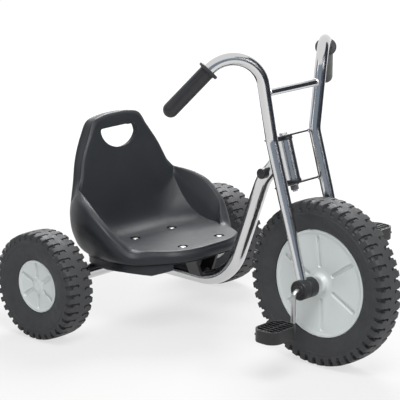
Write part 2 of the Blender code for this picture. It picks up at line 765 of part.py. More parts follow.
def make_seat(carrier):
    seat = add_piece("seat_shell", seat_skin(), "black plastic", carrier)
    hollow(seat, SEAT_WALL)
    ring = handle_block(HANDLE_WALL, -HANDLE_RIM, HANDLE_DEPTH)
    boolean(seat, "handle_wall", ring, carrier, "UNION")
    boolean(seat, "handle_hole", handle_block(0, 0.02, 0.06), carrier)
    window = handle_block(WINDOW_GROW, -WINDOW_FROM, 0.06, WINDOW_DROP + WINDOW_GROW)
    boolean(seat, "back_window", window, carrier)
    up = floor_up()
    bosses = []
    recesses = []
    for place in bolt_places():
        bosses.append(rod(BOSS_RADIUS, place - up * BOSS_DEPTH, place - up * 0.001))
        recesses.append(rod(RECESS_RADIUS, place - up * RECESS_DEPTH, place + up * 0.02))
        recesses.append(rod(BOLT_RADIUS + GAP, place - up * 0.02, place - up * (RECESS_DEPTH - 0.001)))
    for index, boss in enumerate(bosses):
        boolean(seat, "boss_" + str(index), boss, carrier, "UNION")
    for index, recess in enumerate(recesses):
        boolean(seat, "recess_" + str(index), recess, carrier)


def make_skirt(carrier):
    """The lower rim, a band under the shell's hem that is open at the front."""
    rows = seat_rows()[SKIRT_OPEN_COUNT:]
    bottoms = list(SKIRT_BOTTOM)
    bottoms += [SKIRT_REAR_BOTTOM] * (len(rows) - len(bottoms))
    loop = [row[-1] for row in rows]
    path = loop + [Vector((point.x, -point.y, point.z)) for point in reversed(loop[:-1])]
    lows = bottoms + list(reversed(bottoms[:-1]))
    shape = bmesh.new()
    rings = []
    for index, point in enumerate(path):
        before = path[max(index - 1, 0)]
        after = path[min(index + 1, len(path) - 1)]
        along = Vector((after.x - before.x, after.y - before.y, 0)).normalized()
        inward = Vector((-along.y, along.x, 0))
        ring = []
        for inset in (SKIRT_INSET, SKIRT_INSET + SKIRT_WALL):
            place = point + inward * inset
            ring.append(shape.verts.new((place.x, place.y, point.z - GAP)))
            ring.append(shape.verts.new((place.x, place.y, lows[index] + SEAT_RISE)))
        rings.append([ring[0], ring[2], ring[3], ring[1]])
    for first, second in zip(rings, rings[1:]):
        for corner in range(4):
            shape.faces.new((first[corner - 1], first[corner], second[corner], second[corner - 1]))
    shape.faces.new(rings[0])
    shape.faces.new(rings[-1])
    add_piece("seat_skirt", mesh_of(shape), "black plastic", carrier)


def bracket_outline(top):
    """One bracket's front view: flats under the seat, arms, and a saddle over the main tube."""
    inner = MAIN_TUBE_RADIUS - GAP
    outer = MAIN_TUBE_RADIUS + GAP + BRACKET_PLATE
    far = SEAT_BOLT_Y + BRACKET_FLAT / 2
    near = SEAT_BOLT_Y - BRACKET_FLAT / 2
    steps = 8
    under = []
    for index in range(steps + 1):
        angle = SADDLE_HALF_ANGLE * (1 - 2 * index / steps)
        under.append((inner * math.sin(angle), inner * math.cos(angle), False))
    lean = math.sin(SADDLE_HALF_ANGLE) * outer
    drop = math.cos(SADDLE_HALF_ANGLE) * outer
    flat = top - BRACKET_PLATE
    foot = drop - BRACKET_PLATE
    points = [(far, flat, True), (near, flat, True), (lean, foot, False)]
    points += under
    points += [(-lean, foot, False), (-near, flat, True), (-far, flat, True)]
    web = (lean * 0.75, drop + BRACKET_WEB)
    elbow = near - BRACKET_ELBOW
    points += [(-far, top, True), (-elbow, top, True), (-web[0], web[1], False)]
    points.append((0, outer + BRACKET_CROWN, False))
    points += [(web[0], web[1], False), (elbow, top, True), (far, top, True)]
    return points


def make_brackets(carrier, main_points):
    for name, x in zip(("rear", "front"), SEAT_BOLT_X):
        top = floor_z(x) + SEAT_RISE - BOSS_DEPTH - GAP - REAR_Z
        outline = bracket_outline(top)
        shape = bmesh.new()
        loops = []
        for step in (-0.5, 0.5):
            shift = step * BRACKET_WIDTH
            loop = []
            for across, high, flat in outline:
                rise = shift * FLOOR_SLOPE if flat else 0
                place = (REAR_X + x + shift, across, REAR_Z + high + rise)
                loop.append(shape.verts.new(place))
            loops.append(loop)
        for index in range(len(outline)):
            first, second = loops
            shape.faces.new((first[index - 1], first[index], second[index], second[index - 1]))
        shape.faces.new(loops[0])
        shape.faces.new(loops[1])
        piece = add_piece("seat_bracket_" + name, mesh_of(shape), "black paint", carrier)
        boolean(piece, "saddle", tube(main_points, MAIN_TUBE_RADIUS + GAP, solid=True), carrier)
        up = floor_up()
        for place in bolt_places():
            if abs(place.x - REAR_X - x) < BRACKET_WIDTH:
                hole = rod(BOLT_RADIUS + GAP, place - up * 0.03, place + up * 0.01)
                boolean(piece, "hole_" + ("a" if place.y < 0 else "b"), hole, carrier)


def nut_outline(radius):
    return [(radius * math.cos(math.pi * i / 3), radius * math.sin(math.pi * i / 3)) for i in range(6)]


def ring_nut(radius, height, bore, origin, axis):
    """A hexagon nut round a plain bore."""
    shape = bmesh.new()
    levels = []
    for along in (0, height):
        hexagon = []
        hole = []
        for index in range(12):
            angle = math.pi * index / 6
            reach = radius * math.cos(math.pi / 6) / math.cos(angle % (math.pi / 3) - math.pi / 6)
            hexagon.append(shape.verts.new((reach * math.cos(angle), reach * math.sin(angle), along)))
            hole.append(shape.verts.new((bore * math.cos(angle), bore * math.sin(angle), along)))
        levels.append((hexagon, hole))
    for index in range(12):
        for (hexagon, hole) in levels:
            shape.faces.new((hexagon[index - 1], hexagon[index], hole[index], hole[index - 1]))
        for line in (0, 1):
            low, high = levels[0][line], levels[1][line]
            shape.faces.new((low[index - 1], low[index], high[index], high[index - 1]))
    shape.transform(facing(origin, axis))
    return mesh_of(shape)


def make_seat_fasteners(carrier):
    up = floor_up()
    under = BOSS_DEPTH + GAP + BRACKET_PLATE + GAP
    length = under + NUT_HEIGHT + BOLT_TAIL
    for index, place in enumerate(bolt_places(), 1):
        head = place - up * (RECESS_DEPTH - GAP)
        tip = length - RECESS_DEPTH + GAP
        profile = (
            (0, -tip),
            (BOLT_RADIUS, -tip),
            (BOLT_RADIUS, 0),
            (BOLT_HEAD_RADIUS, 0),
            (BOLT_HEAD_RADIUS * 0.8, BOLT_HEAD_HEIGHT * 0.8),
            (0, BOLT_HEAD_HEIGHT),
        )
        add_piece("seat_bolt_" + str(index), turned(profile, head, up, COARSE), "zinc", carrier)
        nut = ring_nut(NUT_RADIUS, NUT_HEIGHT, BOLT_RADIUS + GAP, place - up * under, -up)
        add_piece("seat_nut_" + str(index), nut, "zinc", carrier)


def fork_path(side):
    """One fork tube's line, from the axle housing up the leg, over the bend and down the grip."""
    foot = leg_point(HOUSING_RADIUS * 0.6, side)
    kink = leg_point(UPPER_PLATE_AT + KINK_LIFT, side)
    corner = bar_point(BAR_CORNER, side)
    end = bar_point(BAR_END, side)
    top = leg_point(TAPER_TOP, side)
    low = leg_point(TAPER_END, side)
    rest = bent_path((top, kink, corner, end), (KINK_BEND, BAR_BEND))
    points = [foot, low] + rest
    radii = [LEG_END_RADIUS, LEG_END_RADIUS] + [FORK_RADIUS] * len(rest)
    return points, radii


def make_fork_side(name, side, carrier):
    points, radii = fork_path(side)
    piece = add_piece("fork_tube_" + name, tube(points, FORK_RADIUS, radii), "satin chrome", carrier)
    hollow(piece, FORK_WALL)
    inner = side * (LEG_SPREAD - HOUSING_LENGTH)
    outer = side * (LEG_SPREAD + HOUSING_LENGTH)
    saddle = rod(HOUSING_RADIUS + GAP, AXLE + LATERAL * inner, AXLE + LATERAL * outer, FINE)
    boolean(piece, "saddle", saddle, carrier)
    make_housing(name, side, carrier)
    make_covers(name, side, carrier)
    make_grip(name, side, carrier, points)


def make_housing(name, side, carrier):
    first = AXLE + LATERAL * side * (LEG_SPREAD - HOUSING_LENGTH / 2)
    last = AXLE + LATERAL * side * (LEG_SPREAD + HOUSING_LENGTH / 2)
    ring = sleeve(HOUSING_RADIUS, HOUSING_BORE, first, last)
    add_piece("axle_housing_" + name, ring, "zinc", carrier)
    bush = sleeve(HOUSING_BORE - GAP, ROD_RADIUS + RUNNING, first, last)
    add_piece("axle_bush_" + name, bush, "black plastic", carrier)


def make_covers(name, side, carrier):
    """A black cup pushed over the axle housing from outside, with a slot for the leg."""
    depth = COVER_OUTER - COVER_INNER
    profile = (
        (ROD_RADIUS + RUNNING, 0),
        (COVER_RADIUS - COVER_EDGE, 0),
        (COVER_RADIUS, COVER_EDGE),
        (COVER_RADIUS, depth),
        (HOUSING_RADIUS + GAP, depth),
        (HOUSING_RADIUS + GAP, COVER_WALL),
        (ROD_RADIUS + RUNNING, COVER_WALL),
    )
    cup = turned(profile, AXLE + LATERAL * side * COVER_OUTER, LATERAL * -side)
    piece = add_piece("bearing_cover_" + name, cup, "black plastic", carrier)
    width = LEG_END_RADIUS + GAP
    leg = rod(width, leg_point(0, side), leg_point(COVER_RADIUS * 3, side), FINE)
    boolean(piece, "leg_hole", leg, carrier)
    inner = -side * (LEG_SPREAD - COVER_INNER + 0.002)
    outline = ((-width, 0), (width, 0), (width, inner), (-width, inner))
    place = Matrix.Translation(leg_point(HOUSING_RADIUS / 2, side)) @ STEER_TURN.to_4x4()
    boolean(piece, "slot", slab(outline, COVER_RADIUS, place), carrier)


def make_grip(name, side, carrier, points):
    along = (points[-1] - points[-2]).normalized()
    start = points[-1] - along * (GRIP_LENGTH - GRIP_RADIUS)
    bore = FORK_RADIUS + GAP
    reach = GRIP_LENGTH - GRIP_RADIUS
    flange = ((GRIP_FLANGE_RADIUS, 0), (GRIP_FLANGE_RADIUS, GRIP_FLANGE))
    profile = [(bore, 0), *flange, (GRIP_RADIUS, GRIP_FLANGE)]
    for index in range(6):
        angle = math.pi / 2 * index / 5
        profile.append((GRIP_RADIUS * math.cos(angle), reach + GRIP_RADIUS * math.sin(angle)))
    profile += [(0, reach + GAP * 2), (bore, reach + GAP * 2)]
    grip = turned(profile, start, along)
    add_piece("grip_" + name, grip, "black rubber", carrier)


def fork_cutter(side):
    """A fork tube with its clearance, to cut what is welded to it."""
    points, radii = fork_path(side)
    return tube(points, FORK_RADIUS + GAP, [radius + GAP for radius in radii], solid=True)


def make_plates(carrier):
    """The two steering plates between the legs, bored for the steering bolt."""
    front = AXLE_LEAD - PLATE_SETBACK
    reach = LEG_SPREAD - PLATE_INTO_LEG
    corner = math.atan2(reach, front - PLATE_END)
    tangent = corner + math.acos(PLATE_LOBE / math.hypot(reach, front - PLATE_END))
    for name, height in (("lower", LOWER_PLATE_AT), ("upper", UPPER_PLATE_AT)):
        outline = [(front - PLATE_END, reach), (front, reach), (front, -reach), (front - PLATE_END, -reach)]
        for index in range(LOBE_STEPS + 1):
            angle = -tangent - 2 * (math.pi - tangent) * index / LOBE_STEPS
            outline.append((PLATE_LOBE * math.cos(angle), PLATE_LOBE * math.sin(angle)))
        place = Matrix.Translation(steering_point(height - PLATE_THICKNESS / 2)) @ STEER_TURN.to_4x4()
        plate = slab(outline, PLATE_THICKNESS, place)
        piece = add_piece("steering_plate_" + name, plate, "satin chrome", carrier)
        for side_name, side in SIDES:
            boolean(piece, "leg_" + side_name, fork_cutter(side), carrier)
        hole = rod(HEAD_BOLT_RADIUS + GAP, steering_point(height - 0.01), steering_point(height + 0.01))
        boolean(piece, "hole", hole, carrier)


def make_cross_bar(carrier):
    kink = leg_point(UPPER_PLATE_AT + KINK_LIFT, 1)
    corner = bar_point(BAR_CORNER, 1)
    at = kink.lerp(corner, (CROSS_BAR_LIFT - KINK_LIFT) / (BAR_CORNER[0] - KINK_LIFT))
    bar = rod(CROSS_BAR_RADIUS, (at.x, -at.y, at.z), at)
    piece = add_piece("cross_bar", bar, "satin chrome", carrier)
    for name, side in SIDES:
        boolean(piece, name, fork_cutter(side), carrier)


def make_steering_bolt(carrier):
    top = UPPER_PLATE_AT + PLATE_THICKNESS / 2 + GAP
    bottom = LOWER_PLATE_AT - PLATE_THICKNESS / 2 - GAP
    tail = bottom - HEAD_WASHER_THICKNESS - GAP - HEAD_NUT_HEIGHT - HEAD_BOLT_TAIL
    shank = rod(HEAD_BOLT_RADIUS, steering_point(tail), steering_point(top + 0.001))
    piece = add_piece("steering_bolt", shank, "zinc", carrier)
    place = Matrix.Translation(steering_point(top)) @ STEER_TURN.to_4x4()
    head = slab(nut_outline(HEAD_BOLT_HEAD), HEAD_BOLT_HEAD_HEIGHT, place)
    boolean(piece, "head", head, carrier, "UNION")
    washer_top = steering_point(bottom)
    washer_low = steering_point(bottom - HEAD_WASHER_THICKNESS)
    washer = sleeve(HEAD_WASHER_RADIUS, HEAD_BOLT_RADIUS + GAP, washer_top, washer_low)
    add_piece("steering_washer", washer, "zinc", carrier)
    at = steering_point(bottom - HEAD_WASHER_THICKNESS - GAP)
    nut = ring_nut(HEAD_BOLT_HEAD, HEAD_NUT_HEIGHT, HEAD_BOLT_RADIUS + GAP, at, -UP_AXIS)
    add_piece("steering_nut", nut, "zinc", carrier)


def crank_middle(side):
    """The middle of a pedal spindle: the right crank points down and the left one up."""
    return AXLE + Vector((0, side * PEDAL_OFFSET, side * CRANK_RADIUS))


def pedal_end(side):
    return side * (PEDAL_OFFSET + PEDAL_LENGTH / 2 - PEDAL_CAP_LENGTH - PEDAL_CAP_SUNK)


def make_crankshaft(carrier):
    corners = []
    for side in (-1, 1):
        spindle = crank_middle(side)
        ends = [(spindle.x, pedal_end(side), spindle.z), (spindle.x, side * CRANK_OUTSET, spindle.z)]
        ends.append((AXLE.x, side * CRANK_OUTSET, AXLE.z))
        corners += ends if side < 0 else list(reversed(ends))
    points = bent_path(corners, [CRANK_BEND] * 4, math.radians(22.5))
    piece = add_piece("crankshaft", tube(points, ROD_RADIUS, sides=COARSE, solid=True), "zinc", carrier)
    reach = DRIVE_PIN_LENGTH / 2
    ends = (AXLE - Vector((reach, 0, 0)), AXLE + Vector((reach, 0, 0)))
    boolean(piece, "pin_hole", rod(DRIVE_PIN_RADIUS + GAP, *ends), carrier)
    add_piece("drive_pin", rod(DRIVE_PIN_RADIUS, *ends), "zinc", carrier)


def make_front_wheel(carrier):
    add_piece("front_tyre", tyre(FRONT_WHEEL, AXLE), "rubber", carrier)
    reach = DRIVE_PIN_LENGTH / 2 + GAP
    for name, side in SIDES:
        half = wheel_half(FRONT_WHEEL, AXLE, side, FRONT_HUB_RADIUS, ROD_RADIUS + GAP, FRONT_HUB_RISE)
        piece = add_piece("front_wheel_half_" + name, half, "grey plastic", carrier)
        channels = wheel_channels(FRONT_WHEEL, AXLE, side, FRONT_HUB_RADIUS, FRONT_CHANNEL)
        boolean(piece, "channels", channels, carrier)
        ends = (AXLE - Vector((reach, 0, 0)), AXLE + Vector((reach, 0, 0)))
        boolean(piece, "pin_slot", rod(DRIVE_PIN_RADIUS + GAP, *ends), carrier)


def make_rear_wheel(name, side, carrier):
    middle = Vector((REAR_X, side * REAR_TRACK / 2, REAR_Z))
    add_piece("rear_tyre_" + name, tyre(REAR_WHEEL, middle), "rubber", carrier)
    bore = REAR_AXLE_RADIUS + RUNNING + REAR_BUSH_WALL + GAP
    edge = REAR_WHEEL["seat"] / 2
    inner = wheel_half(REAR_WHEEL, middle, -side, REAR_HUB_RADIUS, bore, REAR_HUB_RISE)
    add_piece("rear_wheel_inner_" + name, inner, "grey plastic", carrier)
    outer = wheel_half(REAR_WHEEL, middle, side, REAR_HUB_RADIUS, bore, REAR_HUB_FACE)
    piece = add_piece("rear_wheel_outer_" + name, outer, "grey plastic", carrier)
    channels = wheel_channels(REAR_WHEEL, middle, side, REAR_HUB_RADIUS, REAR_CHANNEL)
    boolean(piece, "channels", channels, carrier)
    face = middle + LATERAL * side * (edge + REAR_HUB_FACE)
    cap = rod(bore + HUB_EDGE, face - LATERAL * side * HUB_EDGE, face)
    boolean(piece, "hub_cap", cap, carrier, "UNION")
    first = middle - LATERAL * side * (edge + REAR_HUB_RISE + REAR_BUSH_LIP)
    last = middle + LATERAL * side * (edge - BUSH_END_SUNK)
    bush = sleeve(bore - GAP, REAR_AXLE_RADIUS + RUNNING, first, last)
    add_piece("rear_bush_" + name, bush, "black plastic", carrier)
    start = last + LATERAL * side * GAP
    end = start + LATERAL * side * CLIP_LENGTH
    clip = sleeve(bore - CLIP_CLEARANCE, REAR_AXLE_RADIUS + RUNNING, start, end)
    add_piece("axle_clip_" + name, clip, "zinc", carrier)


def rounded_outline(length, depth, corner):
    points = []
    for turn, (x, y) in enumerate(((1, 1), (-1, 1), (-1, -1), (1, -1))):
        for index in range(6):
            angle = math.pi / 2 * (turn + index / 5)
            points.append(
                (
                    x * (depth / 2 - corner) + corner * math.cos(angle),
                    y * (length / 2 - corner) + corner * math.sin(angle),
                )
            )
    return points


def make_pedal(name, side, carrier):
    middle = crank_middle(side)
    outline = rounded_outline(PEDAL_LENGTH, PEDAL_DEPTH, PEDAL_CORNER)
    block = slab(outline, PEDAL_THICKNESS, Matrix.Translation(middle - Vector((0, 0, PEDAL_THICKNESS / 2))))
    piece = add_piece("pedal_" + name, block, "black plastic", carrier)
    reach = LATERAL * PEDAL_LENGTH
    boolean(piece, "bore", rod(ROD_RADIUS + RUNNING, middle - reach, middle + reach), carrier)
    end = middle + LATERAL * side * PEDAL_LENGTH / 2
    inner = end - LATERAL * side * (PEDAL_CAP_LENGTH + PEDAL_CAP_SUNK)
    pocket = rod(PEDAL_CAP_RADIUS + GAP, inner, end + LATERAL * side * 0.01)
    boolean(piece, "pocket", pocket, carrier)
    start = inner + LATERAL * side * GAP
    cap = rod(PEDAL_CAP_RADIUS, start, start + LATERAL * side * PEDAL_CAP_LENGTH)
    add_piece("pedal_cap_" + name, cap, "black plastic", carrier)


def main():
    clear_scene()
    frame = joint_empty("frame", (REAR_X, 0, REAR_Z))
    fork = joint_empty("fork", steering_point(LOWER_PLATE_AT), frame, STEER_TURN)
    wheel = joint_empty("front_wheel", AXLE, fork)
    main_points = make_main_tube(frame)
    make_rear_axle(frame)
    make_head(frame)
    make_buffers(frame, main_points)
    make_brackets(frame, main_points)
    make_seat_fasteners(frame)
    make_seat(frame)
    make_skirt(frame)
    make_plates(fork)
    make_cross_bar(fork)
    make_steering_bolt(fork)
    make_front_wheel(wheel)
    make_crankshaft(wheel)
    for name, side in SIDES:
        make_fork_side(name, side, fork)
        middle = Vector((REAR_X, side * REAR_TRACK / 2, REAR_Z))
        make_rear_wheel(name, side, joint_empty("rear_wheel_" + name, middle, frame))
        make_pedal(name, side, joint_empty("pedal_axis_" + name, crank_middle(side), wheel))


main()
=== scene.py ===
"""The dressed pedal tricycle: its visible pieces, finishes, floor, lights and camera.

Metres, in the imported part's frame: +X forward, +Y the rider's left, +Z up, the floor at zero.
"""

import itertools
import json
import math

import bmesh
import bpy
from mathutils import Matrix, Vector

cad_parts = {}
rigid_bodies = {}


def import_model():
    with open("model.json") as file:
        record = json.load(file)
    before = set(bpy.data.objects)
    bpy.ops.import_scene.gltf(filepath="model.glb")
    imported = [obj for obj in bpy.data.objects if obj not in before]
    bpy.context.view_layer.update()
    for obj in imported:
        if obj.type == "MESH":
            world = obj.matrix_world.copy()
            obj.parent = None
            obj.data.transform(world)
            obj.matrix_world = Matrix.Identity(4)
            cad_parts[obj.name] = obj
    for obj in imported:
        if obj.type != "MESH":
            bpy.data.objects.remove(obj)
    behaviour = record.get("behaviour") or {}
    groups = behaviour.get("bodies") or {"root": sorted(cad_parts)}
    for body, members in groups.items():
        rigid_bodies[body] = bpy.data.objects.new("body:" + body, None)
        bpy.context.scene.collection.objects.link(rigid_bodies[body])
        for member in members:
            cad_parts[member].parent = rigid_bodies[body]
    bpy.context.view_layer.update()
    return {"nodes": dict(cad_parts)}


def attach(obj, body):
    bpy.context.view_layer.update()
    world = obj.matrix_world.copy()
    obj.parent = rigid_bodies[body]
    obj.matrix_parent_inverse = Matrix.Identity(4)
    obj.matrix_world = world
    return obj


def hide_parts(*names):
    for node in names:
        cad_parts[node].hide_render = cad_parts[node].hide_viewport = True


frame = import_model()

# Camera
CAMERA_PLACE = Vector((2.7035, -3.0932, 1.3946))
CAMERA_TARGET = Vector((-0.1088, 0, 0.3038))
CAMERA_LENS = 169.7
CAMERA_ROLL = 0.0022

# Wheels
REAR_X = -0.32025
REAR_Z = 0.1245
AXLE = Vector((0.25975, 0, 0.185))
SIDES = (("right", -1), ("left", 1))
FRONT_WHEEL = {"radius": 0.185, "half": 0.035, "rim": 0.121, "seat": 0.0215, "lugs": 48}
REAR_WHEEL = {"radius": 0.1245, "half": 0.0375, "rim": 0.061, "seat": 0.024, "lugs": 36}
REAR_Y = 0.2933
# Each tread row: millimetres below the crown, share of the half width, the gap between two lugs
# as shares of a pitch, and how far the gap goes in towards the axle and towards the middle.
TREAD_ROWS = (
    (0.0, 0.000, (0.44, 0.70), 0.0, 0.0),
    (0.0, 0.170, (0.44, 0.70), 0.0, 0.0),
    (0.0, 0.195, (0.44, 0.70), 0.0, 0.0),
    (0.0, 0.210, (0.44, 0.70), 5.0, 0.0),
    (0.1, 0.300, (0.44, 0.70), 5.0, 0.0),
    (0.1, 0.325, (0.57, 0.74), 5.0, 0.0),
    (1.0, 0.660, (0.57, 0.74), 6.5, 0.0),
    (1.1, 0.690, (0.34, 0.80), 9.0, 0.0),
    (2.8, 0.880, (0.34, 0.80), 10.5, 0.0),
    (4.0, 0.940, (0.34, 0.80), 10.5, 1.5),
    (7.5, 0.985, (0.35, 0.79), 8.5, 3.5),
    (12.5, 1.000, (0.36, 0.78), 4.0, 4.2),
    (18.0, 0.996, (0.38, 0.76), 0.5, 3.6),
    (20.0, 0.988, (0.40, 0.74), 0.0, 0.8),
    (23.0, 0.980, (0.42, 0.72), 0.0, 0.0),
)
GAP_WALL = 0.018
# Sidewall rows from the tread to the rim: share of the wall's height, share of the half width.
SIDEWALL = (
    (0.56, 0.972), (0.55, 0.988), (0.50, 0.988), (0.49, 0.962), (0.36, 0.928), (0.24, 0.86),
    (0.12, 0.76),
)
SIDEWALL_FULL = 0.6
PLAIN_GAP = (0.4, 0.74)
# The wheel radius from which the tread has its full depth
FULL_TREAD_RADIUS = 0.16

# Discs: radius and height from the wheel's middle, from the bore out to the rim's edge
FRONT_DISC = (
    (0.0056, 0.0180), (0.0056, 0.0278), (0.0150, 0.0284), (0.0185, 0.0270), (0.0215, 0.0200),
    (0.0250, 0.0168), (0.0320, 0.0155), (0.1070, 0.0192), (0.1120, 0.0200), (0.1150, 0.0218),
    (0.1195, 0.0220), (0.1210, 0.0208), (0.1210, 0.0170), (0.1130, 0.0150),
)
REAR_RIM = (
    (0.0555, 0.0243), (0.0598, 0.0245), (0.0610, 0.0232), (0.0610, 0.0190), (0.0530, 0.0170),
)
REAR_DISC = (
    (0.0001, 0.0225), (0.0100, 0.0225), (0.0125, 0.0218), (0.0150, 0.0196), (0.0480, 0.0215),
    (0.0530, 0.0225), *REAR_RIM,
)
REAR_INNER_DISC = (
    (0.0096, 0.0200), (0.0096, 0.0340), (0.0165, 0.0340), (0.0175, 0.0325), (0.0180, 0.0200),
    (0.0480, 0.0200), (0.0545, 0.0220), *REAR_RIM,
)
CHANNELS = 6
CHANNEL_HALF = 0.0058
CHANNEL_EDGE = 0.0022
CHANNEL_DEPTH = 0.0040
FRONT_CHANNEL = (0.040, 0.102)
REAR_CHANNEL = (0.0235, 0.0495)
CHANNEL_TURN = math.radians(4)
# Offsets from a channel's middle line at which its half of the disc has points
CHANNEL_OFFSETS = (0.0085, 0.0070, 0.0058, 0.0053, 0.0047, 0.0041, 0.0036, 0.0018)
# Inside this radius the channels' points keep their angle
CHANNEL_CORE = 0.019
PLAIN_STEPS = 8
FINE_ROW = 0.0008
COARSE_ROW = 0.008

# Frame tubes
TUBE_RADIUS = 0.0175
MAIN_CORNER = Vector((REAR_X + 0.3015, 0, REAR_Z))
MAIN_BENDS = (0.118, 0.090)
NECK_AT = 0.2967
NECK_LENGTH = 0.0992
NECK_ALONG = Vector((math.cos(math.radians(49)), 0, math.sin(math.radians(49))))
AXLE_TUBE_END = 0.249
PLUG_BORE = 0.0066
PLUG_FLANGE = 0.003
# How far the main tube's end stands in the cross tube, and the weld round it
MAIN_SUNK = 0.004
WELD_SUNK = 0.001

# Steering
RAKE = math.radians(16.8)
UP_AXIS = Vector((-math.sin(RAKE), 0, math.cos(RAKE)))
FORE_AXIS = Vector((math.cos(RAKE), 0, math.sin(RAKE)))
LATERAL = Vector((0, 1, 0))
AXLE_LEAD = 0.0285
LEG_SPREAD = 0.073
STEER_FOOT = AXLE - FORE_AXIS * AXLE_LEAD
LOWER_PLATE = 0.2237
UPPER_PLATE = 0.3288
PLATE_HALF = 0.00175
PLATE_GAP = 0.0003
HEAD_FLANGE = 0.007
HEAD_BORE = 0.0063
HEAD_FLANGE_RADIUS = 0.0185
FORK_RADIUS = 0.0135
LEG_END_RADIUS = 0.0107
LEG_FOOT = 0.009
TAPER = (0.060, 0.195)
# How far above the upper plate the leg's kink lies
KINK_ABOVE = 0.0007
KINK_BEND = 0.060
BAR_CORNER = Vector((0.4735 + REAR_X, 0.1210, 0.7560))
BAR_END = Vector((0.3640 + REAR_X, 0.2597, 0.5770))
BAR_BEND = 0.070
CROSS_BAR_HEIGHT = 0.602
CROSS_BAR_RADIUS = 0.008
GRIP_RADIUS = 0.0168
GRIP_LENGTH = 0.134
GRIP_FLANGE = 0.0070
GRIP_FLANGE_RADIUS = 0.0240
GRIP_FLANGE_ROUND = 0.0014
GRIP_END_STEPS = 12
BUFFER_ALONG = 0.0732
BUFFER_OUT = 0.86

# Welds: the bead's radius at each kind of joint
AXLE_BEAD = 0.0024
HEAD_BEAD = 0.0022
PLATE_BEAD = 0.0024
BAR_BEAD = 0.0018
# How far past a plate's face the middle of its bead lies
PLATE_BEAD_OUT = 0.001
WELD_STEPS = 72

# Crankshaft and pedals
ROD_RADIUS = 0.0053
CRANK_RADIUS = 0.076
CRANK_OUTSET = 0.107
CRANK_BEND = 0.013
PEDAL_OFFSET = 0.166
SPINDLE_END = 0.202
PEDAL_LENGTH = 0.088
PEDAL_DEPTH = 0.064
PEDAL_HEIGHT = 0.028
PEDAL_CORNER = 0.025
PEDAL_WALL = 0.004
PEDAL_BARREL = 0.0092
RIB_HALF = 0.0012
RIB_STEP = 0.0112
RIB_DROP = 0.0015
KEEL_HALF = 0.0015
KEEL_DROP = 0.001
WEB_HALF = 0.002

# Seat: stations run from the front edge's middle, round the left side, to the top's middle.
# Each gives the panel's edge, the rim's crest, the outermost line and the hem, from the rear axle.
SEAT_STATIONS = (
    ((0.243, 0.000, 0.2091), (0.256, 0.000, 0.2095), (0.262, 0.000, 0.201), (0.257, 0.000, 0.181)),
    ((0.240, 0.052, 0.2090), (0.253, 0.056, 0.2094), (0.259, 0.058, 0.200), (0.254, 0.057, 0.180)),
    ((0.216, 0.098, 0.2075), (0.229, 0.108, 0.2080), (0.235, 0.113, 0.198), (0.230, 0.109, 0.177)),
    ((0.180, 0.124, 0.2054), (0.189, 0.136, 0.2060), (0.195, 0.143, 0.195), (0.191, 0.140, 0.171)),
    ((0.143, 0.146, 0.2032), (0.147, 0.157, 0.2060), (0.155, 0.174, 0.191), (0.156, 0.160, 0.168)),
    ((0.131, 0.153, 0.2035), (0.127, 0.168, 0.2245), (0.137, 0.189, 0.204), (0.130, 0.171, 0.168)),
    ((0.110, 0.154, 0.2050), (0.108, 0.186, 0.2480), (0.112, 0.204, 0.222), (0.104, 0.174, 0.166)),
    ((0.089, 0.154, 0.2080), (0.080, 0.191, 0.2730), (0.083, 0.211, 0.240), (0.077, 0.170, 0.164)),
    ((0.062, 0.154, 0.2160), (0.050, 0.189, 0.2950), (0.050, 0.213, 0.256), (0.048, 0.164, 0.163)),
    ((0.036, 0.154, 0.2310), (0.024, 0.181, 0.3070), (0.018, 0.208, 0.264), (0.020, 0.158, 0.161)),
    ((0.008, 0.154, 0.2600), (0.000, 0.171, 0.3140), (-0.020, 0.189, 0.270), (-0.002, 0.148, 0.161)),
    ((-0.016, 0.153, 0.2950), (-0.024, 0.161, 0.3190), (-0.050, 0.161, 0.274), (-0.011, 0.138, 0.163)),
    ((-0.025, 0.140, 0.3300), (-0.031, 0.147, 0.3360), (-0.055, 0.146, 0.330), (-0.015, 0.118, 0.168)),
    ((-0.037, 0.120, 0.3770), (-0.042, 0.128, 0.3800), (-0.070, 0.125, 0.375), (-0.017, 0.095, 0.171)),
    ((-0.047, 0.088, 0.4280), (-0.052, 0.096, 0.4300), (-0.081, 0.095, 0.426), (-0.018, 0.070, 0.173)),
    ((-0.051, 0.066, 0.4520), (-0.057, 0.076, 0.4600), (-0.085, 0.073, 0.455), (-0.018, 0.048, 0.174)),
    ((-0.052, 0.036, 0.4600), (-0.059, 0.042, 0.4695), (-0.087, 0.040, 0.463), (-0.018, 0.024, 0.175)),
    ((-0.053, 0.000, 0.4620), (-0.060, 0.000, 0.4715), (-0.088, 0.000, 0.465), (-0.018, 0.000, 0.175)),
)
# How far each station's side stands out past the straight line from its outermost line to the hem
SEAT_BULGE = (
    0.004, 0.004, 0.004, 0.004, 0.005, 0.006, 0.008, 0.010, 0.012,
    0.014, 0.014, 0.012, 0.008, 0.006, 0.006, 0.006, 0.006, 0.006,
)
# The panel's length and height along its dished middle, for every station but the two ends.
SEAT_PANEL = (
    (0.242, 0.2091), (0.216, 0.2075), (0.180, 0.2054), (0.150, 0.2036), (0.131, 0.2025),
    (0.110, 0.2012), (0.089, 0.2000), (0.058, 0.1981), (0.032, 0.2020), (0.006, 0.2180),
    (-0.011, 0.2560), (-0.025, 0.3200), (-0.037, 0.3770), (-0.047, 0.4280), (-0.051, 0.4520),
    (-0.052, 0.4600),
)
# How far the crest's rounding reaches on each side of it
CREST_ROUND = (
    0.007, 0.007, 0.007, 0.009, 0.010, 0.011, 0.013, 0.014, 0.014,
    0.013, 0.011, 0.009, 0.010, 0.011, 0.011, 0.011, 0.011, 0.011,
)
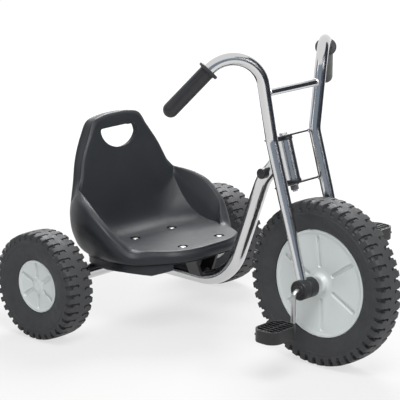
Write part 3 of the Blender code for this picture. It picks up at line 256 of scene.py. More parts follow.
# The shoulder beside the crest: its share of the way out and of the way down to the outermost line
SHOULDER_OUT = (
    0.5, 0.5, 0.5, 0.55, 0.6, 0.64, 0.66, 0.66, 0.66,
    0.64, 0.60, 0.5, 0.5, 0.5, 0.5, 0.5, 0.5, 0.5,
)
SHOULDER_DOWN = (
    0.5, 0.5, 0.5, 0.40, 0.3, 0.20, 0.16, 0.15, 0.15,
    0.16, 0.20, 0.5, 0.5, 0.5, 0.5, 0.5, 0.5, 0.5,
)
STATION_STEPS = 6
# Stations where the seat's lines turn a sharp corner
CORNER_PULL = {11: 0.35, 12: 0.4}
PANEL_COLUMNS = (0.0, 0.20, 0.40, 0.52, 0.64, 0.74, 0.83, 0.91, 0.96)
SEAT_WALL = 0.004
HANDLE_TOP = Vector((-0.0485 + REAR_X, 0, 0.440))
HANDLE_HALF = 0.0596
HANDLE_HEIGHT = 0.050
HANDLE_CORNER = 0.006
BACK_LEAN = math.radians(12.0)
# The handle's raised rim, its hole and the window behind it: how much larger than the hole,
# how deep, how far in front of the back's plane, and how far below the hole
HANDLE_CUTS = (
    (0.004, 0.0105, -0.002, 0.0, "UNION"),
    (0.0, 0.06, 0.02, 0.0, "DIFFERENCE"),
    (0.020, 0.06, -0.016, 0.025, "DIFFERENCE"),
)
SKIRT_FIRST = 2
SKIRT_BOTTOM = (0.163, 0.1485, 0.1505, 0.152, 0.1505, 0.147, 0.146, 0.1465, 0.145, 0.147, 0.150)
SKIRT_REAR_BOTTOM = 0.151
SEAT_BOLTS = [(x, y) for x in (0.064, 0.2155) for y in (-0.062, 0.062)]
FLOOR_AT = (0.064, 0.1985)
FLOOR_SLOPE = 0.0594
# The recess that each bolt's head lies in
RECESS_RADIUS = 0.0123
RECESS_DEPTH = 0.0048
RECESS_TOP = 0.02
BOLT_SUNK = 0.0045
# The skirt's section: its distance in from the outline and its share of the height
SKIRT_PROFILE = (
    (0.0004, 1.0), (0.0000, 0.5), (0.0000, 0.12), (0.0010, 0.0), (0.0034, 0.0), (0.0044, 0.12),
    (0.0044, 1.0),
)
SKIRT_GAP = 0.0003

# Studio
FLOOR_HALF = 12
FLOOR_BELOW = 0.0005
# The distances from the middle between which the floor's glow grows, and its strength there
GLOW_REACH = (0.6, 3.2)
GLOW = (0.68, 0.98)
CARD_STEPS = 24


# Node materials


def add_node(material, kind, inputs=None, **settings):
    """A node with its settings, and its inputs set to values or linked from other nodes' sockets."""
    tree = material.node_tree
    made = tree.nodes.new("ShaderNode" + kind)
    for name, value in settings.items():
        setattr(made, name, value)
    for name, value in (inputs or {}).items():
        if isinstance(value, bpy.types.NodeSocket):
            tree.links.new(value, made.inputs[name])
        else:
            made.inputs[name].default_value = value
    return made


def noise(material, scale, detail=4.0, roughness=0.55):
    place = add_node(material, "TexCoord").outputs["Object"]
    inputs = {"Vector": place, "Scale": scale, "Detail": detail, "Roughness": roughness}
    return add_node(material, "TexNoise", inputs).outputs["Fac"]


def between(material, fac, low, high, from_low=0.3, from_high=0.7):
    """Takes a texture's middle range to a range of plain values."""
    inputs = {"Value": fac, "From Min": from_low, "From Max": from_high, "To Min": low, "To Max": high}
    return add_node(material, "MapRange", inputs).outputs["Result"]


def blended(material, fac, first, second):
    made = add_node(material, "Mix", data_type="RGBA")
    tree = material.node_tree
    tree.links.new(fac, made.inputs["Factor"])
    made.inputs[6].default_value = (*first, 1)
    made.inputs[7].default_value = (*second, 1)
    return made.outputs[2]


def bumped(material, height, strength, distance, below=None):
    inputs = {"Height": height, "Strength": strength, "Distance": distance}
    if below is not None:
        inputs["Normal"] = below
    return add_node(material, "Bump", inputs).outputs["Normal"]


def finish(name, metallic, specular=0.5):
    material = bpy.data.materials.new(name)
    material.use_nodes = True
    shader = material.node_tree.nodes["Principled BSDF"]
    shader.inputs["Metallic"].default_value = metallic
    shader.inputs["Specular IOR Level"].default_value = specular
    return material, shader


def dress(material, shader, colour, roughness, normal):
    tree = material.node_tree
    tree.links.new(colour, shader.inputs["Base Color"])
    tree.links.new(roughness, shader.inputs["Roughness"])
    tree.links.new(normal, shader.inputs["Normal"])
    return material


def chrome_finish(name, first, second, rough, grain):
    material, shader = finish(name, 1.0)
    colour = blended(material, noise(material, 9), first, second)
    roughness = between(material, noise(material, 60, 6), rough[0], rough[1])
    normal = bumped(material, noise(material, 1400, 2), grain, 0.0002)
    return dress(material, shader, colour, roughness, normal)


def zinc_finish(name):
    material, shader = finish(name, 1.0)
    colour = blended(material, noise(material, 120, 5), (0.40, 0.40, 0.39), (0.54, 0.54, 0.53))
    roughness = between(material, noise(material, 300, 5), 0.28, 0.48)
    normal = bumped(material, noise(material, 900, 3), 0.12, 0.0002)
    return dress(material, shader, colour, roughness, normal)


def tyre_finish(name):
    material, shader = finish(name, 0.0, 0.25)
    dust = noise(material, 26, 6, 0.6)
    colour = blended(material, dust, (0.026, 0.027, 0.029), (0.050, 0.051, 0.054))
    roughness = between(material, noise(material, 90, 5), 0.48, 0.66)
    coarse = bumped(material, noise(material, 160, 4), 0.25, 0.0006)
    normal = bumped(material, noise(material, 1100, 3), 0.3, 0.0002, coarse)
    return dress(material, shader, colour, roughness, normal)


def plastic_finish(name, first, second, rough, grain, grain_scale, specular=0.5):
    material, shader = finish(name, 0.0, specular)
    colour = blended(material, noise(material, 14, 5), first, second)
    roughness = between(material, noise(material, 45, 5), rough[0], rough[1])
    wave = bumped(material, noise(material, 22, 2), 0.06, 0.002)
    normal = bumped(material, noise(material, grain_scale, 3), grain, 0.0003, wave)
    return dress(material, shader, colour, roughness, normal)


def grained_finish(name):
    """Black plastic with the fine leathery pebble of a moulded seat."""
    material, shader = finish(name, 0.0, 0.28)
    place = add_node(material, "TexCoord").outputs["Object"]
    cells = add_node(material, "TexVoronoi", {"Vector": place, "Scale": 620.0}).outputs["Distance"]
    colour = blended(material, noise(material, 12, 5), (0.013, 0.015, 0.018), (0.020, 0.022, 0.026))
    roughness = between(material, noise(material, 30, 5), 0.40, 0.47)
    pebble = bumped(material, cells, 0.30, 0.0003)
    normal = bumped(material, noise(material, 1500, 3), 0.2, 0.0002, pebble)
    return dress(material, shader, colour, roughness, normal)


def make_finishes():
    return {
        "chrome": chrome_finish("chrome", (0.60, 0.60, 0.61), (0.66, 0.66, 0.66), (0.13, 0.18), 0.015),
        # plate: a near-black chrome, a painted reflection of the dark surroundings on the steering plates;
        # on the steering nut it is painted shade under the lower plate
        "plate": chrome_finish("plate", (0.08, 0.08, 0.09), (0.12, 0.12, 0.13), (0.42, 0.50), 0.1),
        "weld": chrome_finish("weld", (0.60, 0.60, 0.60), (0.78, 0.77, 0.75), (0.25, 0.45), 0.4),
        "zinc": zinc_finish("zinc"),
        "tyre": tyre_finish("tyre"),
        "grey": plastic_finish(
            "grey", (0.52, 0.56, 0.555), (0.57, 0.61, 0.605), (0.30, 0.40), 0.10, 700
        ),
        "seat": grained_finish("seat"),
        "paint": plastic_finish(
            "paint", (0.012, 0.012, 0.014), (0.018, 0.018, 0.020), (0.32, 0.44), 0.08, 700
        ),
        "black": plastic_finish(
            "black", (0.012, 0.012, 0.013), (0.020, 0.020, 0.022), (0.34, 0.46), 0.20, 900, 0.35
        ),
        "rubber": plastic_finish(
            "rubber", (0.012, 0.012, 0.014), (0.020, 0.020, 0.022), (0.33, 0.43), 0.20, 1200, 0.35
        ),
    }


# Shapes


def add_object(name, data):
    made = bpy.data.objects.new(name, data)
    bpy.context.collection.objects.link(made)
    return made


def solid_mesh(name, verts, faces, merge=0.0, sliver=0.0):
    """A mesh with its faces turned outward, its double points merged and slivers dissolved."""
    mesh = bpy.data.meshes.new(name)
    mesh.from_pydata([tuple(point) for point in verts], [], faces)
    form = bmesh.new()
    form.from_mesh(mesh)
    if merge:
        bmesh.ops.remove_doubles(form, verts=form.verts, dist=merge)
    if sliver:
        bmesh.ops.dissolve_degenerate(form, edges=form.edges, dist=sliver)
    bmesh.ops.recalc_face_normals(form, faces=form.faces)
    form.to_mesh(mesh)
    form.free()
    return mesh


def add_piece(name, verts, faces, kind, body, nodes=(), angle=35):
    """A piece in its place, in a finish, on a body, in the stead of CAD nodes."""
    return place_mesh(name, solid_mesh(name, verts, faces, 1e-6), kind, body, nodes, angle)


def place_mesh(name, mesh, kind, body, nodes, angle):
    mesh.materials.clear()
    mesh.materials.append(finishes[kind])
    mesh.shade_smooth()
    mesh.set_sharp_from_angle(angle=math.radians(angle))
    piece = add_object(name, mesh)
    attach(piece, body)
    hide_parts(*nodes)
    return piece


def bevel(piece, width, segments, angle):
    made = piece.modifiers.new("bevel", "BEVEL")
    made.width = width
    made.segments = segments
    made.limit_method = "ANGLE"
    made.angle_limit = math.radians(angle)
    made.harden_normals = True


def softened(points, radius, steps=4, closed=False):
    """A line of 2-D points with its corners rounded."""
    points = [Vector(point) for point in points]
    result = []
    count = len(points)
    for index, point in enumerate(points):
        if not closed and index in (0, count - 1):
            result.append(point)
            continue
        before = points[index - 1] - point
        after = points[(index + 1) % count] - point
        reach = min(radius, before.length * 0.48, after.length * 0.48)
        first = point + before.normalized() * reach
        last = point + after.normalized() * reach
        for step in range(steps + 1):
            share = step / steps
            result.append(first.lerp(point, share).lerp(point.lerp(last, share), share))
    return result


def bent_path(corners, bends, step=math.radians(4)):
    """The line through the corners, with each inner corner rounded to its bend radius."""
    points = [Vector(corners[0])]
    for before, corner, after, radius in zip(corners, corners[1:], corners[2:], bends):
        into = (corner - before).normalized()
        out = (after - corner).normalized()
        angle = into.angle(out)
        start = corner - into * radius * math.tan(angle / 2)
        middle = start + (out - into * into.dot(out)).normalized() * radius
        count = max(3, round(angle / step))
        for index in range(count + 1):
            turn = Matrix.Rotation(angle * index / count, 3, into.cross(out))
            points.append(middle + turn @ (start - middle))
    points.append(Vector(corners[-1]))
    return points


def ring_faces(rings, size, closed=False):
    """The faces between rings of points that follow each other."""
    faces = []
    for ring in range(rings if closed else rings - 1):
        first = ring * size
        second = (ring + 1) % rings * size
        for step in range(size):
            following = (step + 1) % size
            faces.append((first + step, first + following, second + following, second + step))
    return faces


def end_faces(rings, size):
    return [tuple(range(size)), tuple(range((rings - 1) * size, rings * size))]


def sweep(points, radii, sides=48, closed=False):
    """Rings of a round tube along a line, without twist, with its ends capped."""
    count = len(points)
    if not isinstance(radii, (list, tuple)):
        radii = [radii] * count
    tangents = []
    for index in range(count):
        before = points[index - 1] if closed else points[max(index - 1, 0)]
        after = points[(index + 1) % count] if closed else points[min(index + 1, count - 1)]
        tangents.append((after - before).normalized())
    side = tangents[0].orthogonal().normalized()
    verts = []
    for point, tangent, radius in zip(points, tangents, radii):
        side = (side - tangent * side.dot(tangent)).normalized()
        across = tangent.cross(side)
        for step in range(sides):
            angle = 2 * math.pi * step / sides
            verts.append(point + (side * math.cos(angle) + across * math.sin(angle)) * radius)
    faces = ring_faces(count, sides, closed)
    if not closed:
        faces += end_faces(count, sides)
    return verts, faces


def facing(origin, axis):
    turn = Vector((0, 0, 1)).rotation_difference(Vector(axis).normalized())
    return Matrix.Translation(origin) @ turn.to_matrix().to_4x4()


def lathe(profile, origin, axis, steps=64, closed=True):
    """A form turned from (radius, along the axis) points."""
    place = facing(origin, axis)
    verts = []
    for radius, along in profile:
        for step in range(steps):
            angle = 2 * math.pi * step / steps
            verts.append(place @ Vector((radius * math.cos(angle), radius * math.sin(angle), along)))
    return verts, ring_faces(len(profile), steps, closed)


def block(low, high):
    verts = [Vector(corner) for corner in itertools.product(*zip(low, high))]
    faces = [(0, 1, 3, 2), (4, 6, 7, 5), (0, 4, 5, 1), (2, 3, 7, 6), (0, 2, 6, 4), (1, 5, 7, 3)]
    return verts, faces


def together(shapes):
    verts = []
    faces = []
    for more, sides in shapes:
        faces += [tuple(corner + len(verts) for corner in side) for side in sides]
        verts += more
    return verts, faces


def weld_bead(points, bead):
    """A weld bead along a line, in overlapping ripples."""
    radii = [bead * (0.84 + 0.16 * abs(math.sin(index * 1.05))) for index in range(len(points))]
    radii[0] = radii[-1] = bead * 0.4
    return sweep(points, radii, 12)


def weld_ring(middle, axis, radius, bead):
    """A weld bead laid round a tube."""
    place = facing(middle, axis)
    angles = [2 * math.pi * index / WELD_STEPS for index in range(WELD_STEPS)]
    points = [place @ Vector((radius * math.cos(angle), radius * math.sin(angle), 0)) for angle in angles]
    radii = [bead * (0.86 + 0.14 * abs(math.sin(index * math.pi / 3))) for index in range(WELD_STEPS)]
    return sweep(points, radii, 10, closed=True)


def plate_weld(height, side):
    """The bead between a steering plate's face and the back of the leg."""
    points = []
    for index in range(13):
        angle = math.radians(182 + 58 * index / 12)
        fore = AXLE_LEAD + FORK_RADIUS * math.cos(angle)
        points.append(steering_point(height, fore, side * (LEG_SPREAD + FORK_RADIUS * math.sin(angle))))
    return weld_bead(points, PLATE_BEAD)


# Wheels


def wheel_point(middle, radius, angle, aside):
    return middle + Vector((radius * math.cos(angle), aside, radius * math.sin(angle)))


def tyre_rows(wheel):
    """Half a tyre's section: radius, way aside, gap between lugs and how far in the gap goes."""
    rim, half = wheel["rim"], wheel["half"]
    scale = min(1.0, wheel["radius"] / FULL_TREAD_RADIUS)
    rows = []
    for drop, share, gap, inward, across in TREAD_ROWS:
        drop, inward, across = (value * scale / 1000 for value in (drop, inward, across))
        rows.append((wheel["radius"] - drop, half * share, gap, inward, across))
    wall = rows[-1][0] - rim
    for high, share in SIDEWALL:
        rows.append((rim + wall * high / SIDEWALL_FULL, half * share, PLAIN_GAP, 0, 0))
    rows.append((rim + 0.0008, wheel["seat"] + 0.0008, PLAIN_GAP, 0, 0))
    rows.append((rim + 0.0004, wheel["seat"] - 0.006, PLAIN_GAP, 0, 0))
    return rows


def tyre_side(wheel, middle, side):
    """One half of a tyre, from the crown to the rim, with its lugs."""
    count = wheel["lugs"]
    rows = tyre_rows(wheel)
    shift = 0.0 if side > 0 else 0.5
    verts = []
    for out, across, gap, inward, sink in rows:
        for pitch in range(count):
            marks = (0.0, gap[0] - GAP_WALL, gap[0] + GAP_WALL, gap[1] - GAP_WALL, gap[1] + GAP_WALL)
            for mark, share in enumerate(marks):
                deep = mark in (2, 3)
                reach = out - (inward if deep else 0)
                aside = across - (sink if deep else 0)
                angle = 2 * math.pi * (pitch + share + shift) / count
                verts.append(wheel_point(middle, reach, angle, side * aside))
    return verts, ring_faces(len(rows), len(verts) // len(rows))


def make_tyre(name, wheel, middle, body, node):
    shape = together([tyre_side(wheel, middle, side) for side in (-1, 1)])
    piece = add_piece(name, *shape, "tyre", body, [node], angle=28)
    bevel(piece, 0.0007, 2, 26)


def disc_rows(profile, span):
    """The disc's profile as rows, with more of them round the ends of its channels."""
    rows = [tuple(point) for point in softened(profile, 0.0022, 3)]
    if span is None:
        return rows
    extra = []
    for end, side in ((span[0], -1), (span[1], 1)):
        extra += [end + side * step * FINE_ROW for step in range(-4, 7)]
    dense = []
    for first, second in zip(rows, rows[1:]):
        dense.append(first)
        inside = [value for value in extra if first[0] < value < second[0]]
        count = max(1, int((second[0] - first[0]) / COARSE_ROW))
        inside += [first[0] + (second[0] - first[0]) * step / count for step in range(1, count)]
        for value in sorted(inside):
            share = (value - first[0]) / (second[0] - first[0])
            dense.append((value, first[1] + (second[1] - first[1]) * share))
    dense.append(rows[-1])
    return dense


def channel_depth(radius, aside, span):
    """How deep the channel is at a place, along and aside of its middle line."""
    past = max(span[0] - radius, radius - span[1], 0)
    away = math.hypot(past, aside)
    share = (CHANNEL_HALF - away) / CHANNEL_EDGE
    share = min(1, max(0, share))
    return CHANNEL_DEPTH * share * share * (3 - 2 * share)


def disc(profile, span, middle, side):
    """A wheel's disc, with its pressed channels if it has a span of radii for them."""
    rows = disc_rows(profile, span)
    offsets = [-value for value in CHANNEL_OFFSETS] + [0.0] + list(reversed(CHANNEL_OFFSETS))
    sector = 2 * math.pi / CHANNELS
    verts = []
    for radius, high in rows:
        ring = []
        for channel in range(CHANNELS):
            at = math.pi / 2 + CHANNEL_TURN + channel * sector
            seen = max(radius, CHANNEL_CORE)
            edges = [math.asin(offset / seen) for offset in offsets]
            ring += [(at + edge, offset) for edge, offset in zip(edges, offsets)]
            gap = sector - 2 * edges[-1]
            ring += [(at + edges[-1] + gap * step / PLAIN_STEPS, 1.0) for step in range(1, PLAIN_STEPS)]
        for angle, offset in ring:
            depth = channel_depth(radius, offset, span) if span else 0
            verts.append(wheel_point(middle, radius, angle, side * (high - depth)))
    return verts, ring_faces(len(rows), len(verts) // len(rows))


def make_wheels():
    make_tyre("front_tyre_tread", FRONT_WHEEL, AXLE, "front_wheel", "front_tyre")
    for name, side in SIDES:
        shape = disc(FRONT_DISC, FRONT_CHANNEL, AXLE, side)
        add_piece("front_disc_" + name, *shape, "grey", "front_wheel", ["front_wheel_half_" + name])
        body = "rear_wheel_" + name
        middle = Vector((REAR_X, side * REAR_Y, REAR_Z))
        make_tyre("rear_tread_" + name, REAR_WHEEL, middle, body, "rear_tyre_" + name)
        outer = disc(REAR_DISC, REAR_CHANNEL, middle, side)
        add_piece("rear_disc_" + name, *outer, "grey", body, ["rear_wheel_outer_" + name])
        inner = disc(REAR_INNER_DISC, None, middle, -side)
        add_piece("rear_inner_disc_" + name, *inner, "grey", body, ["rear_wheel_inner_" + name])


# Frame and fork


def steering_point(height, fore=0.0, side=0.0):
    """A place by its height along the steering axis above the front axle."""
    return STEER_FOOT + UP_AXIS * height + FORE_AXIS * fore + LATERAL * side


def leg_point(height, side):
    return steering_point(height, AXLE_LEAD, side * LEG_SPREAD)


def neck_point(back):
    return steering_point(NECK_AT) - NECK_ALONG * back


def main_path():
    start = Vector((REAR_X + TUBE_RADIUS - MAIN_SUNK, 0, REAR_Z))
    return bent_path([start, MAIN_CORNER, neck_point(NECK_LENGTH), neck_point(0)], MAIN_BENDS)


def make_frame():
    points = main_path()
    add_piece("main_tube_bent", *sweep(points, TUBE_RADIUS), "chrome", "frame", ["main_tube"])
    ends = [Vector((REAR_X, side * AXLE_TUBE_END, REAR_Z)) for side in (-1, 0, 1)]
    add_piece("axle_cross_tube", *sweep(ends, TUBE_RADIUS), "chrome", "frame", ["rear_axle_tube"])
    joint = Vector((REAR_X + TUBE_RADIUS - WELD_SUNK, 0, REAR_Z))
    add_piece("axle_weld", *weld_ring(joint, (1, 0, 0), TUBE_RADIUS, AXLE_BEAD), "weld", "frame")
    profile = [(PLUG_BORE, 0), (TUBE_RADIUS, 0), (TUBE_RADIUS, PLUG_FLANGE), (PLUG_BORE, PLUG_FLANGE)]
    for name, side in SIDES:
        shape = lathe(softened(profile, 0.0008, 3, True), ends[1 + side], (0, side, 0), 48)
        add_piece("axle_end_" + name, *shape, "black", "frame", ["axle_plug_" + name])
    low = LOWER_PLATE + PLATE_HALF + PLATE_GAP
    high = UPPER_PLATE - PLATE_HALF - PLATE_GAP
    head = [steering_point(low + HEAD_FLANGE), steering_point(high - HEAD_FLANGE)]
    add_piece("head_sleeve", *sweep(head, TUBE_RADIUS), "chrome", "frame", ["head_tube"])
    for name, at, up in (("lower", low, 1), ("upper", high, -1)):
        profile = [(HEAD_BORE, 0), (HEAD_FLANGE_RADIUS, 0), (HEAD_FLANGE_RADIUS, 0.0052)]
        profile += [(0.0178, HEAD_FLANGE), (HEAD_BORE, HEAD_FLANGE)]
        shape = lathe(softened(profile, 0.0010, 3, True), steering_point(at), UP_AXIS * up, 48)
        add_piece("head_cup_" + name, *shape, "black", "frame", ["head_bush_" + name])
    bead = weld_ring(neck_point(TUBE_RADIUS * 1.1), NECK_ALONG, TUBE_RADIUS, HEAD_BEAD)
    add_piece("head_weld", *bead, "weld", "frame")
    make_buffers()


def make_buffers():
    middle = neck_point(BUFFER_ALONG)
    for name, side in SIDES:
        start = middle + LATERAL * side * TUBE_RADIUS * BUFFER_OUT
        profile = [(0, 0.0164), (0.0068, 0.0150), (0.0075, 0.0167)]
        profile += [(0.0105, 0.0167), (0.0120, 0.0150), (0.0120, 0.0)]
        shape = lathe(softened(profile, 0.0010, 3), start, (0, side, 0), 48, False)
        add_piece("stop_block_" + name, *shape, "rubber", "frame", ["stop_buffer_" + name])


def fork_line(side):
    kink = leg_point(UPPER_PLATE + KINK_ABOVE, side)
    corner = Vector((BAR_CORNER.x, side * BAR_CORNER.y, BAR_CORNER.z))
    end = Vector((BAR_END.x, side * BAR_END.y, BAR_END.z))
    top = leg_point(TAPER[1], side)
    rest = bent_path([top, kink, corner, end], (KINK_BEND, BAR_BEND))
    leg = [leg_point(height, side) for height in (LEG_FOOT, TAPER[0], TAPER[0] + 0.01)]
    radii = [LEG_END_RADIUS] * len(leg) + [FORK_RADIUS] * len(rest)
    return leg + rest, radii


def make_grip(name, points):
    along = (points[-1] - points[-2]).normalized()
    reach = GRIP_LENGTH - GRIP_RADIUS
    start = points[-1] - along * reach
    flat = GRIP_FLANGE_RADIUS - GRIP_FLANGE_ROUND
    profile = [(FORK_RADIUS + 0.0002, 0), (flat, 0), (GRIP_FLANGE_RADIUS, GRIP_FLANGE_ROUND)]
    profile += [(GRIP_FLANGE_RADIUS, GRIP_FLANGE - GRIP_FLANGE_ROUND), (flat, GRIP_FLANGE)]
    profile += [(GRIP_RADIUS + 0.0012, GRIP_FLANGE + 0.0006)]
    profile += [(GRIP_RADIUS, GRIP_FLANGE + 0.0025), (GRIP_RADIUS, reach)]
    for step in range(1, GRIP_END_STEPS + 1):
        angle = math.pi / 2 * step / GRIP_END_STEPS
        profile.append((GRIP_RADIUS * math.cos(angle), reach + GRIP_RADIUS * math.sin(angle)))
    shape = lathe(profile, start, along, 64, False)
    add_piece("grip_sleeve_" + name, *shape, "rubber", "fork", ["grip_" + name])


def make_cover(name, side):
    profile = [
        (0.0056, 0.092), (0.0130, 0.092), (0.0138, 0.0905), (0.0165, 0.0905), (0.0172, 0.092),
        (0.0202, 0.092), (0.0220, 0.0902), (0.0220, 0.0712), (0.0212, 0.0704), (0.0212, 0.0694),
        (0.0220, 0.0686), (0.0220, 0.0468), (0.0204, 0.0450), (0.0153, 0.0450),
    ]
    shape = lathe(softened(profile, 0.0006, 3), AXLE, (0, side, 0), 72, False)
    add_piece("hub_cover_" + name, *shape, "black", "fork", ["bearing_cover_" + name])


def make_fork():
    welds = []
    cross = None
    for name, side in SIDES:
        points, radii = fork_line(side)
        add_piece("fork_bend_" + name, *sweep(points, radii), "chrome", "fork", ["fork_tube_" + name])
        make_grip(name, points)
        make_cover(name, side)
        for height in (LOWER_PLATE, UPPER_PLATE):
            lift = PLATE_HALF + PLATE_BEAD_OUT
            welds += [plate_weld(height + way * lift, side) for way in (-1, 1)]
        for first, second in zip(points, points[1:]):
            if first.z <= CROSS_BAR_HEIGHT <= second.z:
                cross = first.lerp(second, (CROSS_BAR_HEIGHT - first.z) / (second.z - first.z))
        inner = cross - LATERAL * side * FORK_RADIUS
        welds.append(weld_ring(inner, LATERAL, CROSS_BAR_RADIUS, BAR_BEAD))
    ends = [Vector((cross.x, -cross.y, cross.z)), Vector((cross.x, 0, cross.z)), cross]
    add_piece("cross_bar_round", *sweep(ends, CROSS_BAR_RADIUS, 36), "chrome", "fork", ["cross_bar"])
    add_piece("fork_welds", *together(welds), "weld", "fork")


# Crankshaft and pedals


def crank_middle(side):
    return AXLE + Vector((0, side * PEDAL_OFFSET, side * CRANK_RADIUS))


def make_crankshaft():
    corners = []
    for side in (-1, 1):
        spindle = crank_middle(side)
        end = Vector((spindle.x, side * SPINDLE_END, spindle.z))
        knee = Vector((spindle.x, side * CRANK_OUTSET, spindle.z))
        heel = Vector((AXLE.x, side * CRANK_OUTSET, AXLE.z))
        corners += [end, knee, heel] if side < 0 else [heel, knee, end]
    points = bent_path(corners, [CRANK_BEND] * 4, math.radians(8))
    add_piece("crank_rod", *sweep(points, ROD_RADIUS, 28), "zinc", "front_wheel", ["crankshaft"])


def pedal_outline(length, depth, corner, steps=8):
    points = []
    for turn, (x, y) in enumerate(((1, 1), (-1, 1), (-1, -1), (1, -1))):
        for index in range(steps + 1):
            angle = math.pi / 2 * (turn + index / steps)
            across = x * (depth / 2 - corner) + corner * math.cos(angle)
            points.append((across, y * (length / 2 - corner) + corner * math.sin(angle)))
    return points


def band(outline, inset, low, high):
    """An upright wall along a closed outline."""
    count = len(outline)
    verts = []
    for z in (low, high):
        for shrink in (0, inset):
            for index, point in enumerate(outline):
                before = Vector(outline[index - 1])
                after = Vector(outline[(index + 1) % count])
                along = (after - before).normalized()
                place = Vector(point) + Vector((-along.y, along.x)) * shrink
                verts.append(Vector((place.x, place.y, z)))
    faces = []
    for index in range(count):
        following = (index + 1) % count
        for first, second in ((0, count), (count, 3 * count), (3 * count, 2 * count), (2 * count, 0)):
            faces.append((first + index, first + following, second + following, second + index))
    return verts, faces


def make_pedal(name, side):
    middle = crank_middle(side)
    half = PEDAL_HEIGHT / 2
    outline = pedal_outline(PEDAL_LENGTH, PEDAL_DEPTH, PEDAL_CORNER)
    shapes = [band(outline, PEDAL_WALL, -half, half)]
    length = PEDAL_LENGTH / 2 - 0.002
    depth = PEDAL_DEPTH / 2 - 0.002
    low, high = -half + KEEL_DROP, half - KEEL_DROP
    shapes.append(block((-KEEL_HALF, -length, low), (KEEL_HALF, length, high)))
    low, high = -half + RIB_DROP, half - RIB_DROP
    for step in range(-3, 4):
        y = step * RIB_STEP
        reach = depth if abs(step) < 3 else depth - 0.004
        shapes.append(block((-reach, y - RIB_HALF, low), (reach, y + RIB_HALF, high)))
    web = (depth - 0.002, length - 0.006, WEB_HALF)
    shapes.append(block([-value for value in web], web))
    shapes.append(sweep([Vector((0, y, 0)) for y in (-length, 0, length)], PEDAL_BARREL, 32))
    verts, faces = together(shapes)
    verts = [middle + point for point in verts]
    nodes = ["pedal_" + name, "pedal_cap_" + name]
    piece = add_piece("pedal_body_" + name, verts, faces, "black", "pedal_" + name, nodes)
    bevel(piece, 0.0006, 2, 40)


# Seat


def from_rear(place):
    return Vector((place[0] + REAR_X, place[1], place[2]))


def mirrored(point):
    return Vector((point.x, -point.y, point.z))


def smooth_line(points):
    """A line through the stations' points, square to the middle at both ends."""
    line = [mirrored(points[1])] + points + [mirrored(points[-2])]
    gaps = [(after - before).length for before, after in zip(line, line[1:])]
    slopes = [None]
    for at in range(1, len(line) - 1):
        before = (line[at] - line[at - 1]) / gaps[at - 1]
        after = (line[at + 1] - line[at]) / gaps[at]
        slope = (before * gaps[at] + after * gaps[at - 1]) / (gaps[at] + gaps[at - 1])
        slopes.append(slope * CORNER_PULL.get(at - 1, 1.0))
    result = []
    for at in range(1, len(points)):
        for step in range(STATION_STEPS):
            share = step / STATION_STEPS
            turn = share * share * (3 - 2 * share)
            lead = share * (1 - share) * (1 - share) * gaps[at]
            trail = share * share * (share - 1) * gaps[at]
            result.append(line[at].lerp(line[at + 1], turn) + slopes[at] * lead + slopes[at + 1] * trail)
    result.append(points[-1])
    return result


def station_value(values, row):
    first = min(row // STATION_STEPS, len(values) - 2)
    share = row / STATION_STEPS - first
    return values[first] * (1 - share) + values[first + 1] * share


def rounded_corners(points, reaches, steps=6):
    """A line with its corners rounded, each round still passing through its corner."""
    result = [points[0]]
    for before, point, after, reach in zip(points, points[1:], points[2:], reaches):
        back = before - point
        on = after - point
        reach = min(reach, back.length * 0.45, on.length * 0.45)
        back.normalize()
        on.normalize()
        corner = point - (back + on) * reach / 4
        first = corner + back * reach
        last = corner + on * reach
        for step in range(steps + 1):
            share = step / steps
            result.append(first.lerp(corner, share).lerp(corner.lerp(last, share), share))
    result.append(points[-1])
    return result


def panel_point(middle, edge, share):
    """A place on the dished panel, by its share of the way from its middle to its edge."""
    rise = max(0.0, (share - 0.45) / 0.55) ** 2
    place = middle.lerp(edge, rise)
    return Vector((place.x, edge.y * share, place.z))


def seat_rows():
    """For each row, the half section from the panel's middle over the rim to the hem."""
    lines = [smooth_line([from_rear(station[corner]) for station in SEAT_STATIONS]) for corner in range(4)]
    middles = [from_rear((x, 0, z)) for x, z in SEAT_PANEL]
    middles = smooth_line([lines[0][0]] + middles + [lines[0][-1]])
    rows = []
    for row, middle in enumerate(middles):
        edge, crest, outer, hem = (line[row] for line in lines)
        out = Vector((outer.x - edge.x, outer.y - edge.y, 0)).normalized()
        bulge = out * station_value(SEAT_BULGE, row)
        panel = [panel_point(middle, edge, share) for share in PANEL_COLUMNS]
        wall = edge.lerp(crest, 0.5) - out * 0.0015
        side = outer.lerp(hem, 0.38) + bulge
        low = outer.lerp(hem, 0.75) + bulge
        shoulder = crest.lerp(outer, station_value(SHOULDER_OUT, row))
        shoulder.z = crest.z + (outer.z - crest.z) * station_value(SHOULDER_DOWN, row)
        foot = hem + Vector((0, 0, 0.0035))
        corners = [panel[-1], edge, wall, crest, shoulder, outer, side, low, foot]
        reaches = [0.0025, 0.010, station_value(CREST_ROUND, row), 0.008, 0.020, 0.020, 0.020]
        lip = [hem + out * 0.0016 + Vector((0, 0, 0.0012)), hem + out * 0.0016]
        rows.append(panel[:-1] + rounded_corners(corners, reaches) + lip)
    return rows


def seat_skin():
    """The seat's whole skin, from the left hem over the panel to the right hem in each row."""
    verts = []
    faces = []
    rows = seat_rows()
    width = 2 * len(rows[0]) - 1
    for half in rows:
        verts += list(reversed(half)) + [mirrored(point) for point in half[1:]]
    for row in range(len(rows) - 1):
        for column in range(width - 1):
            first = row * width + column
            faces.append((first, first + 1, first + width + 1, first + width))
    return verts, faces


def evaluated(piece):
    bpy.context.view_layer.update()
    seen = piece.evaluated_get(bpy.context.evaluated_depsgraph_get())
    return bpy.data.meshes.new_from_object(seen)


